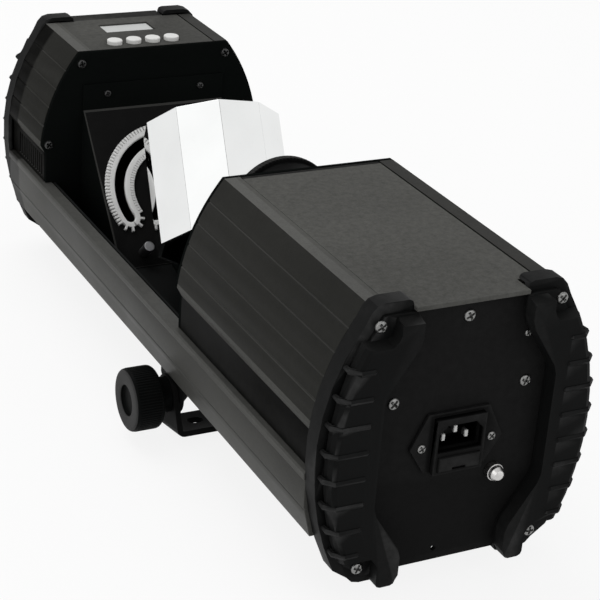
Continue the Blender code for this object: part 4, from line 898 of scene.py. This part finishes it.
def screw_set(name, spots, radius, height, finish="screw steel"):
    """Screw heads of one size, each turned by its own angle, as one piece on the housing."""
    parts = []
    for i, (point, normal) in enumerate(spots):
        verts, faces = screw_head(radius, height, 0.5 + 1.9 * i)
        parts.append((moved(verts, standing(point, normal)), faces))
    obj = put_mesh(name, *stacked(parts), finish, sharp=50.0)
    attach(obj, "housing")


# Slot edging


def slot_points(t, side, away, lift):
    """Points by the arc slot: t is the way along its edge from the middle, round the end cap past the arc's
    end, side is 1 outside the arc and -1 inside it, away is the distance from the edge and lift the height
    off the slope."""
    edge_r = SLOT_MID + side * SLOT_HALF
    half_run = SLOT_END * edge_r
    angle = np.minimum(np.abs(t), half_run) / edge_r
    turn = np.maximum(np.abs(t) - half_run, 0.0) / SLOT_HALF
    out_x, out_y = np.sin(angle), -np.cos(angle)
    reach = SLOT_HALF + away
    x = out_x * SLOT_MID + (out_x * side * np.cos(turn) - out_y * np.sin(turn)) * reach
    y = out_y * SLOT_MID + (out_y * side * np.cos(turn) + out_x * np.sin(turn)) * reach
    x = np.where(t > 0.0, x, -x)
    flat = np.stack([x, y, lift + np.zeros_like(x)], axis=-1)
    axes = np.array([(1.0, 0.0, 0.0), tuple(SLOPE_DOWN), tuple(SLOPE_OUT)])
    return flat @ axes + np.array(SWING_AT)


def slot_strip(t, profile, side):
    """A closed profile of distance and height carried along the slot's edge, with its two ends filled."""
    prof = np.asarray(profile, float)
    along, away = np.meshgrid(t, prof[:, 0], indexing="ij")
    lift = np.broadcast_to(prof[:, 1], away.shape)
    return slot_points(along, side, away, lift).reshape(-1, 3), tube_faces(*along.shape)


def slot_tooth(t, profile, side):
    """One tooth of constant width: its closed profile of distance and height stands square to the slot's
    edge at t, and is carried sideways along the edge's own direction there, with its upper points lower at
    both ends."""
    prof = np.asarray(profile, float)
    base = slot_points(np.full(len(prof), t), side, prof[:, 0], prof[:, 1])
    behind, ahead = slot_points(np.array([t - TOOTH_AIM, t + TOOTH_AIM]), side, 0.0, 0.0)
    along = (ahead - behind) / np.linalg.norm(ahead - behind)
    steps = 0.5 * TOOTH_WIDE * np.array([-1.0, -0.8, 0.8, 1.0])
    drop = TOOTH_DROP * np.array([1.0, 0.0, 0.0, 1.0])
    upper = (prof[:, 1] > EDGING_LIFT)[None, :, None]
    verts = base[None] + steps[:, None, None] * along - upper * drop[:, None, None] * np.array(SLOPE_OUT)
    return verts.reshape(-1, 3), tube_faces(len(steps), len(prof))


def edging_parts(side, pitch):
    """The rim along one edge of the slot, with a rounded lip, and its teeth at even steps near the pitch."""
    low, high = EDGING_LIFT, EDGING_LIFT + EDGING_TALL
    reach = SLOT_END * (SLOT_MID + side * SLOT_HALF) + 0.5 * math.pi * SLOT_HALF - EDGING_LIFT
    rim = arc(RIM_LIP, high - RIM_LIP, RIM_LIP, 180.0, 90.0, 4)
    rim += [(EDGING_ROOT, high), (EDGING_ROOT, low), (0.0, low)]
    root, tip = EDGING_ROOT - TOOTH_SINK, EDGING_WIDE - TOOTH_SOFT
    tooth = [(root, high), (tip, high)] + arc(tip, high - TOOTH_SOFT, TOOTH_SOFT, 60.0, 0.0, 2)
    tooth += [(EDGING_WIDE, low), (root, low)]
    count = int(round(2.0 * reach / pitch))
    middles = -reach + 2.0 * reach / count * (np.arange(count) + 0.5)
    strip = slot_strip(np.linspace(-reach, reach, RIM_STEPS), rim, side)
    return [strip] + [slot_tooth(t, tooth, side) for t in middles]


# Stage


def white_floor(scene):
    """A pale floor just under the object, aglow for the camera and in reflections, which keeps the shadow."""
    z = CAD_BOX[0][2] - FLOOR_GAP
    corners = [(x, y, z) for x, y in ((-1, -1), (1, -1), (1, 1), (-1, 1))]
    mesh = bpy.data.meshes.new("floor")
    mesh.from_pydata([(x * FLOOR_HALF, y * FLOOR_HALF, z) for x, y, z in corners], [], [(0, 1, 2, 3)])
    floor = bpy.data.objects.new("floor", mesh)
    scene.collection.objects.link(floor)
    mat = bpy.data.materials.new("white floor")
    mat.use_nodes = True
    tree = mat.node_tree
    shader = tree.nodes["Principled BSDF"]
    shader.inputs["Base Color"].default_value = (0.95, 0.95, 0.95, 1.0)
    shader.inputs["Roughness"].default_value = 0.9
    glow = tree.nodes.new("ShaderNodeEmission")
    glow.inputs["Color"].default_value = WHITE
    share = calc(tree, "MULTIPLY", either_ray(tree, "Is Camera Ray", "Is Glossy Ray"), FLOOR_GLOW)
    surface = mixed_shaders(tree, share, shader.outputs["BSDF"], glow.outputs["Emission"])
    feed(tree, surface, tree.nodes["Material Output"].inputs["Surface"])
    mesh.materials.append(mat)


def studio_world(scene):
    """White for the camera and through glass, a softer white with a bright patch in reflections, and about
    half white as light on the object."""
    world = bpy.data.worlds.new("studio")
    scene.world = world
    world.use_nodes = True
    tree = world.node_tree
    towards = tree.nodes.new("ShaderNodeVectorMath")
    towards.operation = "DOT_PRODUCT"
    towards.inputs[1].default_value = PATCH_WAY
    feed(tree, own(tree, "Generated"), towards.inputs[0])
    patch = span(tree, towards.outputs["Value"], PATCH_RIM, PATCH_HEART, GLOSS_DIM, 1.0, smooth=True)
    plain, soft, bright = (tree.nodes["Background"], tree.nodes.new("ShaderNodeBackground"),
                           tree.nodes.new("ShaderNodeBackground"))
    for back, strength in ((plain, WORLD_LIGHT), (soft, patch), (bright, 1.0)):
        back.inputs["Color"].default_value = WHITE
        feed(tree, strength, back.inputs["Strength"])
    glossy = tree.nodes.new("ShaderNodeLightPath").outputs["Is Glossy Ray"]
    lit = mixed_shaders(tree, glossy, plain.outputs["Background"], soft.outputs["Background"])
    direct = either_ray(tree, "Is Camera Ray", "Is Transmission Ray")
    surface = mixed_shaders(tree, direct, lit, bright.outputs["Background"])
    feed(tree, surface, tree.nodes["World Output"].inputs["Surface"])


def soft_lamps(scene):
    """Large soft lamps that look at the object."""
    for name, at, size, power in LAMPS:
        lamp = bpy.data.lights.new(name, "AREA")
        lamp.shape = "SQUARE"
        lamp.size = size
        lamp.energy = power
        holder = bpy.data.objects.new(name, lamp)
        scene.collection.objects.link(holder)
        holder.location = at
        holder.rotation_euler = (LAMP_AIM - Vector(at)).to_track_quat("-Z", "Y").to_euler()


def photo_camera(scene):
    """The camera fitted to the photo: azimuth, elevation, roll, and focal length in the photo's pixels."""
    az, el, roll = CAMERA_AZIMUTH, CAMERA_ELEVATION, CAMERA_ROLL
    ahead = Vector((math.sin(az) * math.cos(el), math.cos(az) * math.cos(el), -math.sin(el)))
    right = ahead.cross(Vector((0, 0, 1))).normalized()
    down = ahead.cross(right)
    rolled_right = math.cos(roll) * right + math.sin(roll) * down
    rolled_down = -math.sin(roll) * right + math.cos(roll) * down
    camera = bpy.data.cameras.new("camera")
    camera.sensor_width = SENSOR
    camera.lens = FOCAL_PIXELS / PHOTO_WIDTH * SENSOR
    camera.clip_start = 0.01
    holder = bpy.data.objects.new("camera", camera)
    scene.collection.objects.link(holder)
    turn = Matrix((rolled_right, -rolled_down, -ahead)).transposed().to_4x4()
    holder.matrix_world = Matrix.Translation(place(*CAMERA_AT)) @ turn
    scene.camera = holder


# Operators


class SPOT_OT_finishes(bpy.types.Operator):
    """Builds the finishes and paints the CAD solids that stay"""
    bl_idname = "spot.finishes"
    bl_label = "Finishes"

    def execute(self, context):
        tint = context.scene.spot_colours
        GROUPS.update(grain=grain_group(), dust=dust_group(), wear=wear_group())
        panel_finishes(tint)
        sheet_finishes(tint)
        moulded_finishes(tint)
        metal_finishes(tint)
        for finish, names in KEPT_SOLIDS.items():
            for node in names:
                repaint(node, finish)
        return {"FINISHED"}


class SPOT_OT_bumpers(bpy.types.Operator):
    """The four ribbed end bumpers, with moulded edges"""
    bl_idname = "spot.bumpers"
    bl_label = "End bumpers"

    def execute(self, context):
        for node in BUMPERS:
            softened(node, "moulded black", context.scene.spot_sizes.mould_edge, segments=3, angle=28.0)
        return {"FINISHED"}


class SPOT_OT_housing(bpy.types.Operator):
    """The sheet pieces of the housing, with folded and broken edges"""
    bl_idname = "spot.housing"
    bl_label = "Housing sheets"

    def execute(self, context):
        edge = context.scene.spot_sizes.edge
        for node in ("near_end_plate", "far_end_plate"):
            softened(node, "plate paint", edge)
        for end, finish in (("lamp", "panel paint"), ("control", "vented panel paint")):
            for hand in ("left", "right"):
                # The panels' upward faces take the flange's painted sheen
                panel = softened(end + "_side_" + hand, finish, edge * 0.6, angle=25.0,
                                 facing=(0.0, 0.0, 1.0), second="flange painted sheen")
                if hand == "left":
                    closed_seam(panel)
        for node in ("left_rail", "right_rail", "near_collar"):
            softened(node, "rail paint", edge, angle=25.0)
        softened("bay_liner", "liner black", edge)
        for node in ("lamp_bulkhead", "control_bulkhead", "drum_carrier"):
            softened(node, "bay black", edge)
        # The sloping face takes painted light against the bay's black, with painted highlights on its folded
        # edges
        softened("slope_box", "bay black", edge, facing=SLOPE_OUT, second="slope face painted light", fold=0.0011)
        for node in ("lamp_cover", "control_cover"):
            softened(node, "grained cover", edge)
        return {"FINISHED"}


class SPOT_OT_edging(bpy.types.Operator):
    """The pale edging round the arc slot: a rounded rim at the slot and fine teeth on its far side"""
    bl_idname = "spot.edging"
    bl_label = "Slot edging"

    def execute(self, context):
        pitch = context.scene.spot_sizes.tooth_pitch
        for node, side in (("slot_edging_outer", 1.0), ("slot_edging_inner", -1.0)):
            verts, faces = stacked(edging_parts(side, pitch))
            settle(put_mesh(node + "_fine", verts, faces, "pale edging", merge=1e-7), node)
        return {"FINISHED"}


class SPOT_OT_drum(bpy.types.Operator):
    """The ten mirror strips of the drum, with ground edges, and the two stop posts beside it"""
    bl_idname = "spot.drum"
    bl_label = "Mirror drum"

    def execute(self, context):
        spin = JOINTS["drum_spin"]
        for node in FACETS:
            widened(softened(node, "mirror strip", 0.00025), spin["pos_m"], spin["axis"], MIRROR_GROWTH)
        for node in ("stop_post_left", "stop_post_right"):
            softened(node, "dull steel", 0.0005, segments=3, angle=50.0)
        return {"FINISHED"}


class SPOT_OT_optics(bpy.types.Operator):
    """The focus ring with its fine ribs, and the front lens"""
    bl_idname = "spot.optics"
    bl_label = "Focus ring and lens"

    def execute(self, context):
        ribs = context.scene.spot_sizes.ring_ribs
        low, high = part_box("focus_ring")
        profile, ribbed = ring_profile(0.5 * (high[0] - low[0]), high[1] - low[1])
        turned_piece("focus_ring_ribbed", "focus_ring", profile, ribs * 8, on_lens_axis("focus_ring"),
                     "ring moulding", closed=True, ribs=ribs, rib_depth=0.0004, ribbed=ribbed)
        low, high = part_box("front_lens")
        profile = lens_profile(0.5 * (high[0] - low[0]), high[1] - low[1])
        at = on_lens_axis("front_lens")
        turned_piece("front_lens_ground", "front_lens", profile, 96, at, "lens glass")
        return {"FINISHED"}


class SPOT_OT_controls(bpy.types.Operator):
    """The menu buttons and the display pane on the control cover"""
    bl_idname = "spot.controls"
    bl_label = "Buttons and display"

    def execute(self, context):
        for node in BUTTONS:
            low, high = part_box(node)
            foot = (0.5 * (low[0] + high[0]), 0.5 * (low[1] + high[1]), low[2])
            profile = key_profile(0.5 * (high[0] - low[0]), high[2] - low[2])
            turned_piece(node + "_cap", node, profile, 64, Matrix.Translation(foot), "white key")
        softened("display_window", "display pane", 0.0004)
        return {"FINISHED"}


class SPOT_OT_inlet(bpy.types.Operator):
    """The mains inlet with its pins, its fuse drawer and the earth nut"""
    bl_idname = "spot.inlet"
    bl_label = "Mains inlet"

    def execute(self, context):
        edge = context.scene.spot_sizes.edge
        softened("inlet_housing", "inlet moulding", edge)
        softened("fuse_drawer", "inlet moulding", edge * 0.6)
        softened("inlet_pins", "inlet pin", edge)
        softened("earth_nut", "bright steel", edge * 0.7, angle=25.0)
        return {"FINISHED"}


class SPOT_OT_yoke(bpy.types.Operator):
    """The hanging yoke, its brackets and the two clamping knobs"""
    bl_idname = "spot.yoke"
    bl_label = "Yoke and knobs"

    def execute(self, context):
        size = context.scene.spot_sizes
        for node in ("yoke", "yoke_bracket_left", "yoke_bracket_right"):
            softened(node, "plate paint", size.edge * 1.2)
        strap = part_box("yoke")[1][0]
        for node, side in (("knob_left", -1.0), ("knob_right", 1.0)):
            low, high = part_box(node)
            tip, face = sorted((abs(low[0]), abs(high[0])))
            radius = 0.5 * (high[1] - low[1])
            profile = knob_profile(radius, face, strap, tip)
            ribbed = [float(r > radius - 0.0002) for r, _ in profile]
            at = standing(place(0.0, PIVOT_Y, PIVOT_Z), (side, 0.0, 0.0))
            turned_piece(node + "_ribbed", node, profile, size.knob_ribs * 6, at, "knob black",
                         ribs=size.knob_ribs, rib_depth=0.00035, ribbed=ribbed)
        return {"FINISHED"}


class SPOT_OT_screws(bpy.types.Operator):
    """The cross-head screws of the plates, bumpers, ears, bulkheads and the sloping box"""
    bl_idname = "spot.screws"
    bl_label = "Screws"

    def execute(self, context):
        size = context.scene.spot_sizes
        plate = [(0.0, -0.0108)] + both_sides((0.0396, -0.0546))
        screw_set("near_plate_screws", on_face(PLATE_Y, NEARWARD, plate), size.screw_r, size.screw_tall)
        screw_set("near_plate_small_screw", on_face(PLATE_Y, NEARWARD, [(0.0375, -0.0265)]), 0.0020, 0.0010)
        screw_set("inlet_screws", on_face(EAR_Y, NEARWARD, both_sides((0.0212, -0.0833))), 0.0026, 0.0012)
        pockets = both_sides((0.0533, -0.0075), (0.0535, -0.1482))
        corners = on_face(NEAR_POCKET_Y, NEARWARD, pockets) + on_face(FAR_POCKET_Y, FARWARD, pockets)
        screw_set("bumper_screws", corners, size.screw_r, size.screw_tall)
        marks = both_sides((0.053, -0.008), (0.076, -0.064))
        bay = on_face(LAMP_BULKHEAD_Y, FARWARD, marks) + on_face(CONTROL_BULKHEAD_Y, NEARWARD, marks)
        screw_set("bulkhead_screws", bay, 0.0031, 0.0018, "dark screw")
        flange = on_face(SLOPE_FLANGE_Y, NEARWARD, both_sides((0.0345, -0.0300)))
        screw_set("slope_screws", flange, 0.0024, 0.0014, "dark screw")
        return {"FINISHED"}


class SPOT_OT_stage(bpy.types.Operator):
    """Floor, world, soft lamps and camera"""
    bl_idname = "spot.stage"
    bl_label = "Stage"

    def execute(self, context):
        white_floor(context.scene)
        studio_world(context.scene)
        soft_lamps(context.scene)
        photo_camera(context.scene)
        context.scene.view_settings.view_transform = "Standard"
        return {"FINISHED"}


class SPOT_PT_panel(bpy.types.Panel):
    """Lists the sizes, the colours and the pieces in the 3D view's sidebar"""
    bl_idname = "SPOT_PT_panel"
    bl_label = "Barrel mirror spotlight"
    bl_space_type = "VIEW_3D"
    bl_region_type = "UI"
    bl_category = "Spotlight"

    def draw(self, context):
        layout = self.layout
        for group in (context.scene.spot_sizes, context.scene.spot_colours):
            box = layout.box()
            for key in group.__annotations__:
                box.prop(group, key)
        for step in STEPS:
            layout.operator(step.bl_idname)


STEPS = (SPOT_OT_finishes, SPOT_OT_bumpers, SPOT_OT_housing, SPOT_OT_edging, SPOT_OT_drum, SPOT_OT_optics,
         SPOT_OT_controls, SPOT_OT_inlet, SPOT_OT_yoke, SPOT_OT_screws, SPOT_OT_stage)
CLASSES = (SpotSizes, SpotColours) + STEPS + (SPOT_PT_panel,)


def register():
    """Makes the classes and the scene's own settings known to Blender."""
    for cls in CLASSES:
        bpy.utils.register_class(cls)
    bpy.types.Scene.spot_sizes = PointerProperty(type=SpotSizes)
    bpy.types.Scene.spot_colours = PointerProperty(type=SpotColours)


def unregister():
    """Takes them away again."""
    del bpy.types.Scene.spot_colours
    del bpy.types.Scene.spot_sizes
    for cls in reversed(CLASSES):
        bpy.utils.unregister_class(cls)


def main():
    register()
    for step in STEPS:
        group, name = step.bl_idname.split(".")
        getattr(getattr(bpy.ops, group), name)()


if __name__ == "__main__":
    main()
